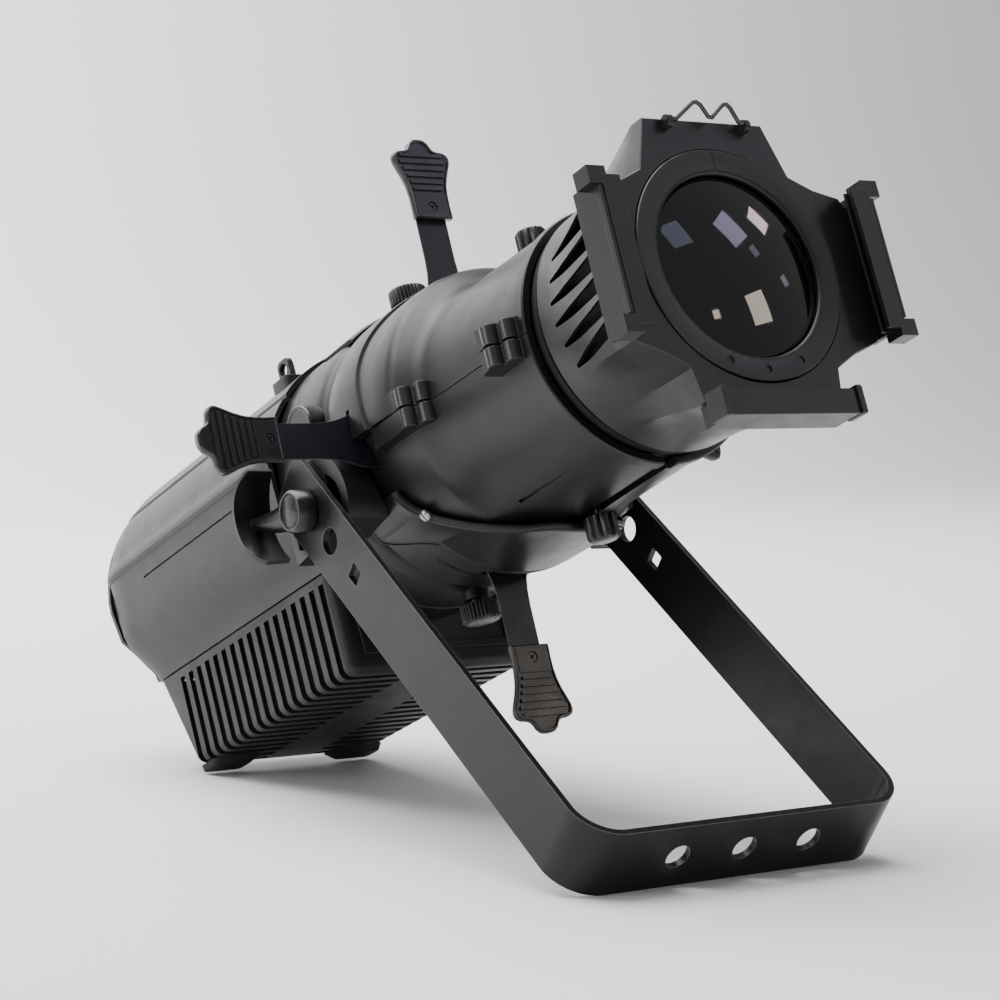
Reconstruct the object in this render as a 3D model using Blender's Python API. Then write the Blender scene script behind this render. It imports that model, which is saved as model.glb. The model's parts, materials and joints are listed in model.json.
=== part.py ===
"""Ellipsoidal stage spotlight with an LED engine, resting on its yoke bar and on two rear feet.

Frame: origin on the floor under the middle of the whole spotlight, +Z up, the beam leaves towards -Y.
Sizes below are in millimetres. The mesh builders turn them into metres.

Lamp pieces are drawn in the lamp's own frame as (x, s, n): x to the side, s forward along the optical
axis from the tilt pivot, n up from that axis. The yoke is drawn in its own frame as (x, d, w): d away
from the pivot towards the bar, w across the flat strip.
"""
import math

import bmesh
import bpy
from mathutils import Vector

MM = 0.001
GAP = 0.3                       # clearance between pieces that touch

# --- pose and driving dimensions ---------------------------------------------------------------
TILT = math.radians(22.86)      # the beam points up by this angle
YOKE_DROP = math.radians(32.47)  # the yoke runs down from the pivot by this angle
YOKE_REACH = 375.0              # pivot to the outer face of the yoke's bar
YOKE_HALF = 132.0               # outer half width of the yoke
YOKE_WIDTH = 50.0
YOKE_THICK = 4.5
YOKE_BEND = 30.0
YOKE_TOP = 36.0                 # the arms run this far past the pivot
YOKE_CORNER = 10.0
PADDLE_R = 50.0
PADDLE_RISE = 9.0               # the paddle's middle above the pivot
PIVOT_Z = YOKE_REACH * math.sin(YOKE_DROP) + YOKE_WIDTH / 2 * math.cos(YOKE_DROP)
AXIS_RISE = 34.7                # optical axis above the pivot, square to the beam
CENTRE_X = 12.0                 # the left shutter stands out farther than the right one
CENTRE_Y = -10.47               # pivot, from the middle of the length

HOUSING_R = 118.0
HOUSING_FRONT = -68.0
HOUSING_REAR = -347.0
COLLAR_R = 107.0
COLLAR_RISE = 9.0
COLLAR_FRONT = 2.0
BOX_HALF = 83.0
BOX_TOP = -58.0
BOX_BOTTOM = -136.0
FOOT_REAR = -317.0
FOOT_BOTTOM = (FOOT_REAR * -math.sin(TILT) - PIVOT_Z) / math.cos(TILT) - AXIS_RISE
SLOTS = 17
SLOT_FIRST = -81.0
SLOT_PITCH = 14.2
SLOT_WIDTH = 7.6
SAFETY_EYE = (-62.0, -92.0, 99.5, 122.0)    # x, front s, foot n, top n

BARREL_REAR = 6.0
BARREL_RIM = 236.0
BARREL_R = 92.0
SPLIT = 0.4                     # half the gap between the barrel's two shells
GATE_R = 112.0
BOSS_HALF = 15.0
JAW_R = 100.8
JAW_WALL = 4.0
# clamp bosses: s rear, s shoulder, s front, outer |x|
BOSSES = ((62.0, 102.0, 122.0, 110.0), (198.0, 208.0, 229.0, 107.0))

TUBE_R = 84.0
TUBE_WALL = 4.0
TUBE_REAR = 122.0
FOCUS_CENTRE = (0.0, 150.0)      # x and s of the focus knobs
HEAD_REAR = 248.0
HEAD_FRONT = 347.0
PLATE_HOLE_R = 80.5
LENS_R = 74.0
LENS_OPEN_R = 63.0
RAIL_FRONT = 366.0
CLIP_S = 352.5
CLIP_N = 97.5

SHUTTER_IN = 38.0               # inner edge of a blade that is pulled out
SHUTTER_HALF = 37.0
STRAP_HALF = 13.0
SHUTTER_TIP = 237.0
HANDLE_START = 173.0
SHEET = 1.2
EXIT_HALF = 23.0                # half the width of a slot that a strap leaves through
STRAP_PLANES = {"top": 40.0, "bottom": 34.0, "left": 46.0, "right": 52.0}

KNOB_SEGMENTS = 12
ROUND = 40


# --- mesh builders -----------------------------------------------------------------------------
def lamp_point(x, s, n):
    """A point of the lamp's frame, in metres."""
    return Vector((x, -s, n)) * MM


def make_object(name, parent, vertices, faces, colour, roughness=0.5, metallic=0.0):
    """One closed mesh object with its faces turned outwards and its own material."""
    mesh = bpy.data.meshes.new(name)
    bm = bmesh.new()
    handles = [bm.verts.new(v) for v in vertices]
    for face in faces:
        if len(set(face)) > 2:
            bm.faces.new([handles[i] for i in face])
    bmesh.ops.remove_doubles(bm, verts=bm.verts, dist=1e-6)
    bmesh.ops.triangulate(bm, faces=bm.faces, ngon_method="EAR_CLIP")
    bmesh.ops.recalc_face_normals(bm, faces=bm.faces)
    bm.to_mesh(mesh)
    bm.free()
    obj = bpy.data.objects.new(name, mesh)
    bpy.context.collection.objects.link(obj)
    obj.parent = parent
    material = bpy.data.materials.new(name)
    material.use_nodes = True
    shader = material.node_tree.nodes["Principled BSDF"]
    shader.inputs["Base Color"].default_value = (*colour, 1.0)
    shader.inputs["Roughness"].default_value = roughness
    shader.inputs["Metallic"].default_value = metallic
    mesh.materials.append(material)
    return obj


def loft(name, parent, rings, look, closed=False):
    """Skin a list of equal loops. A closed loft joins its last loop to its first."""
    count = len(rings[0])
    vertices = [v for ring in rings for v in ring]
    faces = []
    spans = len(rings) if closed else len(rings) - 1
    for i in range(spans):
        a = i * count
        b = (i + 1) % len(rings) * count
        for j in range(count):
            k = (j + 1) % count
            faces.append((a + j, a + k, b + k, b + j))
    if not closed:
        faces.append(tuple(range(count)))
        faces.append(tuple(range(len(vertices) - count, len(vertices))))
    return make_object(name, parent, vertices, faces, *look)


def turned(name, parent, profile, look, start=0.0, sweep=360.0, steps=ROUND, place=lamp_point):
    """Turn a closed (s, r) profile round the optical axis, from an angle counted from the top."""
    full = sweep >= 360.0
    rings = []
    for i in range(steps if full else steps + 1):
        angle = math.radians(start + sweep * i / steps)
        rings.append([place(r * math.sin(angle), s, r * math.cos(angle)) for s, r in profile])
    return loft(name, parent, rings, look, closed=full)


def prism(name, parent, outline, low, high, look, along="n"):
    """Extrude an outline along s, n or x. It is given in (x, n), (x, s) or (s, n)."""
    def place(a, b, c):
        if along == "s":
            return lamp_point(a, c, b)
        if along == "n":
            return lamp_point(a, b, c)
        return lamp_point(c, a, b)
    rings = [[place(a, b, level) for a, b in outline] for level in (low, high)]
    return loft(name, parent, rings, look)


def block(name, parent, low, high, look):
    """A box between two opposite corners, each given as (x, s, n)."""
    outline = [(low[0], low[1]), (high[0], low[1]), (high[0], high[1]), (low[0], high[1])]
    return prism(name, parent, outline, low[2], high[2], look)


BOX_FACES = ((0, 1, 3, 2), (4, 6, 7, 5), (0, 4, 5, 1), (2, 3, 7, 6), (0, 2, 6, 4), (1, 5, 7, 3))


def blocks(name, parent, spans):
    """Many boxes that stand clear of each other, in one object that is used as a cutter."""
    vertices, faces = [], []
    for low, high in spans:
        start = len(vertices)
        spans_of_axes = list(zip(low, high))
        for x in spans_of_axes[0]:
            for s in spans_of_axes[1]:
                vertices += [lamp_point(x, s, n) for n in spans_of_axes[2]]
        faces += [tuple(start + j for j in face) for face in BOX_FACES]
    return make_object(name, parent, vertices, faces, *NO_LOOK)


def disc(radius, count, centre=(0.0, 0.0), start=0.0):
    """The points of a circle in a plane."""
    angles = [start + 2 * math.pi * i / count for i in range(count)]
    return [(centre[0] + radius * math.cos(a), centre[1] + radius * math.sin(a)) for a in angles]


def fluted(radius, depth, flutes, centre=(0.0, 0.0)):
    """The outline of a fluted knob."""
    points = []
    for i in range(flutes * 2):
        r = radius if i % 2 == 0 else radius - depth
        angle = math.pi * i / flutes
        points.append((centre[0] + r * math.cos(angle), centre[1] + r * math.sin(angle)))
    return points


def combine(obj, tool, operation="DIFFERENCE"):
    """Cut an object with a tool, or weld the tool onto it."""
    tool.hide_render = True
    tool.display_type = "WIRE"
    step = obj.modifiers.new(operation.lower(), "BOOLEAN")
    step.operation = operation
    step.object = tool
    return obj


def weld(obj, tool):
    return combine(obj, tool, "UNION")


def smoothstep(low, high, value):
    t = min(max((value - low) / (high - low), 0.0), 1.0)
    return t * t * (3 - 2 * t)


def mirrored(points):
    """Add the mirror image of half an outline that starts at the top middle."""
    return points + [(-x, n) for x, n in reversed(points) if abs(x) > 1e-6]


def filled_in(points, longest):
    """A closed outline with points added so that no side is longer than the given length."""
    result = []
    for i, (x, n) in enumerate(points):
        next_x, next_n = points[(i + 1) % len(points)]
        parts = max(1, math.ceil(math.hypot(next_x - x, next_n - n) / longest))
        result += [(x + (next_x - x) * j / parts, n + (next_n - n) * j / parts) for j in range(parts)]
    return result


# --- looks: colour, roughness, metallic --------------------------------------------------------
SATIN_BLACK = ((0.022, 0.023, 0.025), 0.42, 0.0)
PLASTIC = ((0.014, 0.014, 0.015), 0.5, 0.0)
STRAP_STEEL = ((0.02, 0.021, 0.026), 0.38, 0.4)
YOKE_STEEL = ((0.016, 0.016, 0.017), 0.36, 0.0)
BARE_ALUMINIUM = ((0.55, 0.56, 0.57), 0.35, 1.0)
STEEL = ((0.45, 0.45, 0.46), 0.3, 1.0)
GLASS = ((0.02, 0.018, 0.022), 0.04, 0.0)
BOARD = ((0.02, 0.09, 0.04), 0.5, 0.0)
RUBBER = ((0.012, 0.012, 0.012), 0.8, 0.0)
NO_LOOK = ((1.0, 0.0, 1.0), 0.5, 0.0)


# --- light engine: the body that everything else moves on ---------------------------------------
def housing_outline(shrink=0.0):
    """Right half of the rear housing's section, from the top middle to the foot of its side."""
    radius = HOUSING_R - shrink
    points = []
    for i in range(10):
        angle = math.radians(8.0 * i)
        points.append((radius * math.sin(angle), radius * math.cos(angle)))
    points += [(116.0 - shrink, 14.0), (116.0 - shrink, 4.0), (111.0 - shrink, -22.0)]
    points += [(97.0 - shrink, -37.0), (86.0 - shrink, -50.0), (84.0 - shrink, BOX_TOP + 1.0)]
    return points


def housing_strip(wall):
    """The section as a strip: outer line from left to right, inner line back again."""
    half = housing_outline()
    inner = housing_outline(wall)
    outer_line = [(-x, n) for x, n in reversed(half)] + half[1:]
    inner_line = inner[::-1] + [(-x, n) for x, n in inner[1:]]
    inner_line = [(x, n - wall if n > 60.0 else n) for x, n in inner_line]
    return outer_line + inner_line


def build_housing(lamp):
    strip = housing_strip(3.5)
    stations = ((HOUSING_FRONT, 1.0), (-200.0, 1.0), (HOUSING_REAR + 14.0, 1.0), (HOUSING_REAR, 0.975))
    rings = [[lamp_point(x * size, s, n * size if n > 0 else n) for x, n in strip] for s, size in stations]
    housing = loft("rear_housing", lamp, rings, SATIN_BLACK)
    low, high, foot, top = SAFETY_EYE
    weld(housing, block("safety_eye", lamp, (low, high - 20.0, foot), (low + 5.0, high, top), NO_LOOK))
    combine(housing, prism("safety_hole", lamp, disc(5.0, 16, (high - 10.0, top - 8.0)), low - 4.0, low + 9.0,
                           NO_LOOK, "x"))


def collar_ring(s, radius):
    """A loop of the collar, whose middle lies above the optical axis."""
    return [lamp_point(radius * math.sin(2 * math.pi * i / ROUND), s,
                       COLLAR_RISE + radius * math.cos(2 * math.pi * i / ROUND))
            for i in range(ROUND)]


def build_collar(lamp):
    rear = HOUSING_FRONT + GAP
    wall_r, lip_r = COLLAR_R - 5.0, COLLAR_R - 18.0
    stations = ((rear, COLLAR_R), (-8.0, COLLAR_R), (COLLAR_FRONT, wall_r), (COLLAR_FRONT, lip_r),
                (-6.0, lip_r), (-6.0, wall_r), (rear + 4.0, wall_r), (rear + 4.0, 48.0), (rear, 48.0))
    rings = [collar_ring(s, r) for s, r in stations]
    collar = loft("swivel_collar", lamp, rings, SATIN_BLACK, closed=True)
    for name, low, high in (("top", 90.0, 125.0), ("bottom", -110.0, -84.0)):
        hole = prism("knob_hole_" + name, lamp, disc(5.4, 16, (0.0, -9.0)), low, high, NO_LOOK)
        combine(collar, hole)


def box_loop(half, rear, front, level, corner):
    """A rounded rectangle at one height of the vent box."""
    points = []
    for cx, cs, turn in ((half, front, 0), (-half, front, 1), (-half, rear, 2), (half, rear, 3)):
        mx = cx - math.copysign(corner, cx)
        ms = cs - corner if turn < 2 else cs + corner
        for i in range(4):
            angle = math.radians(turn * 90 + 30 * i)
            points.append(lamp_point(mx + corner * math.cos(angle), ms + corner * math.sin(angle), level))
    return points


def build_vent_box(lamp):
    """A tray under the housing, with louvre slots that run down its sides and round onto its bottom."""
    wall = 3.2
    front = HOUSING_FRONT
    slope = 30.0 / (BOX_TOP - BOX_BOTTOM)

    def loop(inset, level, lift=0.0):
        rear = HOUSING_REAR + slope * (BOX_TOP - level)
        half = BOX_HALF - 3.0 * (BOX_TOP - level) / (BOX_TOP - BOX_BOTTOM) - inset - lift
        return box_loop(half, rear + inset + lift, front - inset - lift, level, 9.0 - inset * 0.8)

    rings = [loop(wall, BOX_BOTTOM + wall), loop(wall, BOX_TOP), loop(0.0, BOX_TOP),
             loop(0.0, BOX_BOTTOM + 6.0), loop(0.0, BOX_BOTTOM + 2.0, 1.5), loop(0.0, BOX_BOTTOM, 4.0)]
    tray = loft("vent_box", lamp, rings, SATIN_BLACK)
    spans = []
    for side in (-1, 1):
        for i in range(SLOTS):
            middle = SLOT_FIRST - i * SLOT_PITCH
            spans.append(((side * 22.0, middle - SLOT_WIDTH / 2, BOX_BOTTOM - 9.0),
                          (side * (BOX_HALF + 12.0), middle + SLOT_WIDTH / 2, BOX_TOP - 6.0)))
    combine(tray, blocks("louvre_slots", lamp, spans))


def build_feet(lamp):
    """Two pads at the rear corners of the vent box."""
    for name, side in (("foot_left", -1), ("foot_right", 1)):
        top = BOX_BOTTOM - GAP
        outer, inner = 78.0 * side, 36.0 * side
        low = FOOT_BOTTOM
        rear, front = FOOT_REAR, FOOT_REAR + 26.0
        ring_top = [lamp_point(outer, rear, top), lamp_point(inner, rear, top),
                    lamp_point(inner, front, top), lamp_point(outer, front, top)]
        ring_low = [lamp_point(outer, rear, low), lamp_point(inner + 9 * side, rear, low),
                    lamp_point(inner + 9 * side, front - 4, low), lamp_point(outer, front - 4, low)]
        loft(name, lamp, [ring_top, ring_low], RUBBER)


def build_rear_cover(lamp):
    """The end cap with the display, its buttons and the connectors."""
    outline = mirrored(housing_outline())
    front = HOUSING_REAR - GAP
    stations = ((front, 0.97), (front - 4.0, 0.97), (front - 9.0, 0.91))
    rings = [[lamp_point(x * size, s, n * size if n > 0 else n + (1 - size) * 40.0) for x, n in outline]
             for s, size in stations]
    cover = loft("rear_cover", lamp, rings, SATIN_BLACK)
    far, near = front - 12.0, front - 2.0
    display = prism("display_cut", lamp, [(-34.0, 52.0), (34.0, 52.0), (34.0, 84.0), (-34.0, 84.0)],
                    far, front - 5.0, NO_LOOK, "s")
    combine(cover, display)
    prism("display_window", lamp, [(-33.7, 52.3), (33.7, 52.3), (33.7, 83.7), (-33.7, 83.7)],
          front - 8.6, front - 5.3, ((0.02, 0.03, 0.035), 0.1, 0.0), "s")
    for i in range(4):
        centre = (-33.0 + 22.0 * i, 34.0)
        well = prism("button_well", lamp, disc(6.0, 16, centre), far, near, NO_LOOK, "s")
        combine(cover, well)
        prism("menu_button_%d" % (i + 1), lamp, disc(5.6, 16, centre), front - 11.5, front - 3.2, PLASTIC, "s")
    n = 0.0
    for name, radius, x in (("power_inlet", 12.5, -42.0), ("data_inlet", 11.5, 8.0), ("data_outlet", 11.5, 44.0)):
        well = prism("socket_well", lamp, disc(radius + GAP, 24, (x, n)), far - 6.0, near, NO_LOOK, "s")
        combine(cover, well)
        socket = prism(name, lamp, disc(radius, 24, (x, n)), front - 14.0, front - 2.6, PLASTIC, "s")
        bore = prism("socket_bore", lamp, disc(radius - 3.5, 20, (x, n)), front - 20.0, front - 6.0,
                     NO_LOOK, "s")
        combine(socket, bore)


def build_inside(lamp):
    """The LED engine, its cooling and its electronics, all inside the housing and the vent box."""
    board = block("led_module", lamp, (-32.0, -115.0, -32.0), (32.0, -112.0, 32.0), BOARD)
    weld(board, prism("led_emitter", lamp, disc(15.0, 24), -113.0, -107.0, NO_LOOK, "s"))
    turned("lens_holder", lamp, [(-105.0, 40.5), (-105.0, 44.0), (-72.0, 44.0), (-72.0, 40.5)], SATIN_BLACK,
           steps=32)
    profile = [(-100.0, 0.0), (-100.0, 40.0), (-94.0, 40.0), (-86.0, 30.0), (-80.0, 15.0), (-78.0, 0.0)]
    turned("condenser_lens", lamp, profile, GLASS, steps=32)
    comb = [(-66.0, -115.4)]
    fins = 12
    pitch = 132.0 / (fins - 0.5)
    for i in range(fins):
        left = -66.0 + i * pitch
        comb += [(left, -225.0), (left + pitch / 2, -225.0)]
        if i < fins - 1:
            comb += [(left + pitch / 2, -124.0), (left + pitch, -124.0)]
    comb.append((66.0, -115.4))
    prism("heatsink", lamp, comb, -46.0, 66.0, BARE_ALUMINIUM)
    square = []
    ring = []
    for i in range(32):
        angle = 2 * math.pi * (i + 0.5) / 32
        reach = 58.0 / max(abs(math.cos(angle)), abs(math.sin(angle)))
        square.append((reach * math.cos(angle), 10.0 + reach * math.sin(angle)))
        ring.append((53.0 * math.cos(angle), 10.0 + 53.0 * math.sin(angle)))
    frame = [[lamp_point(x, s, n) for x, n in outline]
             for outline, s in ((square, -229.0), (square, -253.0), (ring, -253.0), (ring, -229.0))]
    loft("fan_frame", lamp, frame, PLASTIC, closed=True)
    rotor = []
    blades = 7
    for i in range(blades * 4):
        angle = 2 * math.pi * i / (blades * 4)
        radius = 50.0 if i % 4 in (1, 2) else 19.0
        rotor.append((radius, angle))
    twist = math.radians(16.0)
    rings = [[lamp_point(r * math.cos(a + turn), s, 10.0 + r * math.sin(a + turn)) for r, a in rotor]
             for s, turn in ((-232.0, 0.0), (-241.0, twist / 2), (-250.0, twist))]
    loft("fan_rotor", lamp, rings, PLASTIC)
    block("power_supply", lamp, (-58.0, -210.0, -126.0), (58.0, -92.0, -82.0), BARE_ALUMINIUM)
    block("control_board", lamp, (-62.0, -322.0, -30.0), (62.0, -320.0, 82.0), BOARD)


def build_pivots(lamp):
    """Brackets on the collar's sides, with the friction washers that the yoke turns against."""
    inner_yoke = YOKE_HALF - YOKE_THICK
    bracket_face = inner_yoke - 3.0 - 2 * GAP
    pivot = (0.0, -AXIS_RISE)
    for name, side in (("left", -1), ("right", 1)):
        outline = [(-40.0, -62.0), (-40.0, -20.0)]
        for i in range(9):
            angle = math.radians(150.0 - 22.5 * i)
            outline.append((6.0 + 36.0 * math.cos(angle), -AXIS_RISE + 36.0 * math.sin(angle)))
        low, high = sorted((side * 84.0, side * bracket_face))
        bracket = prism("pivot_bracket_" + name, lamp, outline, low, high, SATIN_BLACK, "x")
        form_rings = [collar_ring(-72.0, COLLAR_R + GAP), collar_ring(60.0, COLLAR_R + GAP)]
        form = loft("collar_form_" + name, lamp, form_rings, NO_LOOK)
        combine(bracket, form)
        combine(bracket, prism("jaw_form_" + name, lamp, disc(JAW_R + JAW_WALL + GAP, ROUND), -72.0, 60.0,
                               NO_LOOK, "s"))
        bore = prism("stud_bore_" + name, lamp, disc(6.4, 20, pivot), *sorted((side * 70.0, side * 130.0)),
                     NO_LOOK, "x")
        combine(bracket, bore)
        low, high = sorted((side * (bracket_face + GAP), side * (inner_yoke - GAP)))
        washer = prism("pivot_washer_" + name, lamp, disc(21.0, 32, pivot), low, high, RUBBER, "x")
        combine(washer, bore)


def build_jaw(lamp):
    """The band under the barrel that carries it while it turns."""
    rings = []
    steps = 30
    start, end = 114.0, 246.0
    for i in range(steps + 1):
        degrees = start + (end - start) * i / steps
        angle = math.radians(degrees)
        below = 180.0 - abs(180.0 - degrees)
        rear = BARREL_REAR + 44.0 * smoothstep(126.0, 142.0, below)
        front = 58.0 + 80.0 * smoothstep(114.0, 172.0, below)
        outer = JAW_R + JAW_WALL
        drop = smoothstep(120.0, 138.0, front) * 3.0
        profile = ((rear, JAW_R), (rear, outer), (front - 6.0, outer - drop), (front, outer - 2.5 - drop),
                   (front, JAW_R - drop))
        rings.append([lamp_point(r * math.sin(angle), s, r * math.cos(angle)) for s, r in profile])
    loft("barrel_jaw", lamp, rings, SATIN_BLACK)


def build_rotation_knobs(lamp):
    for name, knob_low, knob_high, stem_end in (("top", 127.0, 141.0, 92.0),
                                                ("bottom", -121.0, -107.0, -87.0)):
        centre = (0.0, -9.0)
        outline = fluted(14.5, 1.4, KNOB_SEGMENTS, centre)
        knob = prism("rotation_knob_" + name, lamp, outline, knob_low, knob_high, PLASTIC)
        stem_span = sorted((stem_end, knob_low + 4.0 if name == "top" else knob_high - 4.0))
        weld(knob, prism("knob_stem_" + name, lamp, disc(5.0, 14, centre), *stem_span, NO_LOOK))


# --- barrel: turns about the optical axis --------------------------------------------------------
def gate_swell(degrees, s):
    """How far the gate bulges at an angle from the top. Behind the straps it stays clear of the brackets."""
    if s > 44.0:
        return 1.0 - smoothstep(80.0, 98.0, abs(degrees))
    return 1.0 - smoothstep(52.0, 96.0, abs(degrees))


def shell_profile(degrees):
    """Closed wall profile of a barrel shell at one angle from the top."""
    outer = []
    for s, share in ((BARREL_REAR, 0.6), (20.0, 1.0), (43.0, 1.0), (49.0, 1.0), (70.0, 1.0), (98.0, 0.75)):
        outer.append((s, 99.0 + gate_swell(degrees, s) * share * (GATE_R - 99.0)))
    outer += [(118.0, 95.5), (136.0, BARREL_R + 1.0), (BARREL_RIM - 9.0, BARREL_R - 1.5),
              (BARREL_RIM - 8.0, BARREL_R), (BARREL_RIM, BARREL_R)]
    inner = [(BARREL_RIM, BARREL_R - 5.5), (136.0, BARREL_R - 4.5), (118.0, 91.0), (98.0, 95.5), (20.0, 95.8),
             (BARREL_REAR, 95.8)]
    return outer + inner


def build_shell(lamp, name, start):
    steps = 20
    edge = math.degrees(SPLIT / BARREL_R)
    rings = []
    for i in range(steps + 1):
        degrees = start + edge + (180.0 - 2 * edge) * i / steps
        from_top = degrees if degrees <= 180.0 else 360.0 - degrees
        angle = math.radians(degrees)
        rings.append([lamp_point(r * math.sin(angle), s, r * math.cos(angle))
                      for s, r in shell_profile(from_top)])
    return loft(name, lamp, rings, SATIN_BLACK)


def build_barrel(lamp):
    upper = build_shell(lamp, "barrel_upper", -90.0)
    lower = build_shell(lamp, "barrel_lower", 90.0)
    for shell, sign in ((upper, 1), (lower, -1)):
        for rear, shoulder, front, reach in BOSSES:
            for side in (-1, 1):
                span = sorted((sign * SPLIT * 1.5, sign * BOSS_HALF))
                outline = [(88.5, rear), (reach, rear), (reach, shoulder), (92.0, front), (88.5, front)]
                weld(shell, prism("boss", lamp, [(side * x, s) for x, s in outline], *span, NO_LOOK))
        combine(shell, block("focus_slot", lamp, (-5.5, 143.0, sign * 80.0), (5.5, 245.0, sign * 100.0),
                             NO_LOOK))
        strap_s = STRAP_PLANES["top" if sign > 0 else "bottom"]
        combine(shell, block("strap_exit", lamp, (-EXIT_HALF, strap_s - 5.0, sign * 80.0),
                             (EXIT_HALF, strap_s + 5.0, sign * 130.0), NO_LOOK))
        for side, strap_s in ((-1, STRAP_PLANES["left"]), (1, STRAP_PLANES["right"])):
            combine(shell, block("side_exit", lamp, (side * 80.0, strap_s - 4.0, -EXIT_HALF),
                                 (side * 125.0, strap_s + 4.0, EXIT_HALF), NO_LOOK))


def build_gate(lamp):
    for name, rear, front in (("gate_plate_rear", 21.0, 23.0), ("gate_plate_front", 57.0, 59.0)):
        turned(name, lamp, [(rear, 39.0), (rear, 95.0), (front, 95.0), (front, 39.0)], STEEL, steps=40)
    ring = [(-5.0, 74.0), (-5.0, 78.0), (11.0, 78.0), (11.0, 95.2), (14.0, 95.2), (14.0, 74.0)]
    turned("swivel_ring", lamp, ring, STEEL, steps=40)


# --- shutters ------------------------------------------------------------------------------------
def shutter_outline(shift):
    """Blade and strap in one sheet: (across, outward from the axis)."""
    root = STRAP_HALF + 7.0
    half = [(SHUTTER_HALF, SHUTTER_IN), (SHUTTER_HALF, 72.0), (root, 86.0), (root, 108.0),
            (STRAP_HALF + 2.5, 122.0), (STRAP_HALF, 142.0), (STRAP_HALF, 196.0)]
    outline = half + [(-a, b) for a, b in reversed(half)]
    return [(a, b - shift) for a, b in outline]


def handle_outline(shift):
    """A three-lobed grip that widens from its foot to its shoulders."""
    half = [(16.0, HANDLE_START), (16.5, 190.0), (18.5, 202.0), (24.0, 218.0), (23.5, 224.0), (14.0, 228.0),
            (10.0, 231.0), (6.0, SHUTTER_TIP - 1.0), (0.0, SHUTTER_TIP)]
    outline = half + [(-a, b) for a, b in reversed(half[:-1])]
    return [(a, b - shift) for a, b in outline]


def build_shutters(lamp):
    """Four blades, each pushed in by its own distance and lying in its own plane."""
    for name, direction, shift in (("top", 90.0, 0.0), ("bottom", 270.0, 20.0),
                                   ("left", 180.0, 0.0), ("right", 0.0, 24.0)):
        level = STRAP_PLANES[name]
        out = Vector((math.cos(math.radians(direction)), math.sin(math.radians(direction))))
        across = Vector((out.y, -out.x))

        def turn(points):
            return [tuple(across * a + out * b) for a, b in points]

        prism("shutter_%s_blade" % name, lamp, turn(shutter_outline(shift)),
              level - SHEET / 2, level + SHEET / 2, STRAP_STEEL, "s")
        face = level + SHEET / 2 + GAP
        outline = turn(handle_outline(shift))
        grip = prism("shutter_%s_handle" % name, lamp, outline, face, face + 6.5, PLASTIC, "s")
        seat = tuple(out * (182.0 - shift))
        combine(grip, prism("screw_seat_" + name, lamp, disc(4.0, 14, seat), face - 2.0, face + 9.0,
                            NO_LOOK, "s"))
        prism("shutter_%s_screw" % name, lamp, disc(3.6, 14, seat), face, face + 7.0, STEEL, "s")


# --- lens tube and accessory head: slide along the barrel ----------------------------------------
def head_outline():
    """Right half of the front plate's outline, from the top middle down."""
    return [(0.0, 100.0), (49.0, 100.0), (55.0, 82.0), (61.0, 64.0), (80.0, 55.0), (100.0, 50.0), (104.0, 44.0),
            (104.0, -44.0), (100.0, -52.0), (78.0, -60.0), (60.0, -70.0), (56.0, -92.0), (0.0, -92.0)]


def build_head(tube):
    half = head_outline()
    outline = filled_in(half + [(-x, n) for x, n in reversed(half[1:-1])], 13.0)
    angles = [math.atan2(x, n) for x, n in outline]

    def circle(s, radius):
        return [lamp_point(radius * math.sin(a), s, radius * math.cos(a)) for a in angles]

    def plate(s, inset):
        points = []
        for (x, n), a in zip(outline, angles):
            reach = math.hypot(x, n) - inset
            points.append(lamp_point(reach * math.sin(a), s, reach * math.cos(a)))
        return points

    bore = TUBE_R + 2 * GAP
    rings = [circle(HEAD_REAR, bore), circle(HEAD_REAR, 88.5), circle(HEAD_REAR + 14.0, 89.0),
             plate(HEAD_FRONT - 12.0, 0.0), plate(HEAD_FRONT, 0.0), circle(HEAD_FRONT, PLATE_HOLE_R),
             circle(HEAD_FRONT - 3.5, PLATE_HOLE_R + 0.6), plate(HEAD_FRONT - 12.0, 2.6),
             circle(HEAD_REAR + 14.0, 86.4), circle(HEAD_REAR + 12.0, bore)]
    head = loft("front_head", tube, rings, SATIN_BLACK, closed=True)
    gaps = []
    for side in (-1, 1):
        for i in range(6):
            middle = -36.5 + 14.6 * i
            gaps.append(((side * 85.8, HEAD_REAR + 20.0, middle - 5.6),
                         (side * 120.0, HEAD_FRONT - 14.0, middle + 5.6)))
    combine(head, blocks("gusset_gaps", tube, gaps))
    for x in (-34.5, 28.5):
        weld(head, block("clip_eye", tube, (x, HEAD_FRONT - 1.0, 92.5), (x + 6.0, HEAD_FRONT + 9.0, 102.5),
                         NO_LOOK))
    combine(head, prism("eye_bore", tube, disc(1.6, 12, (CLIP_S, CLIP_N)), -60.0, 60.0, NO_LOOK, "x"))


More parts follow.
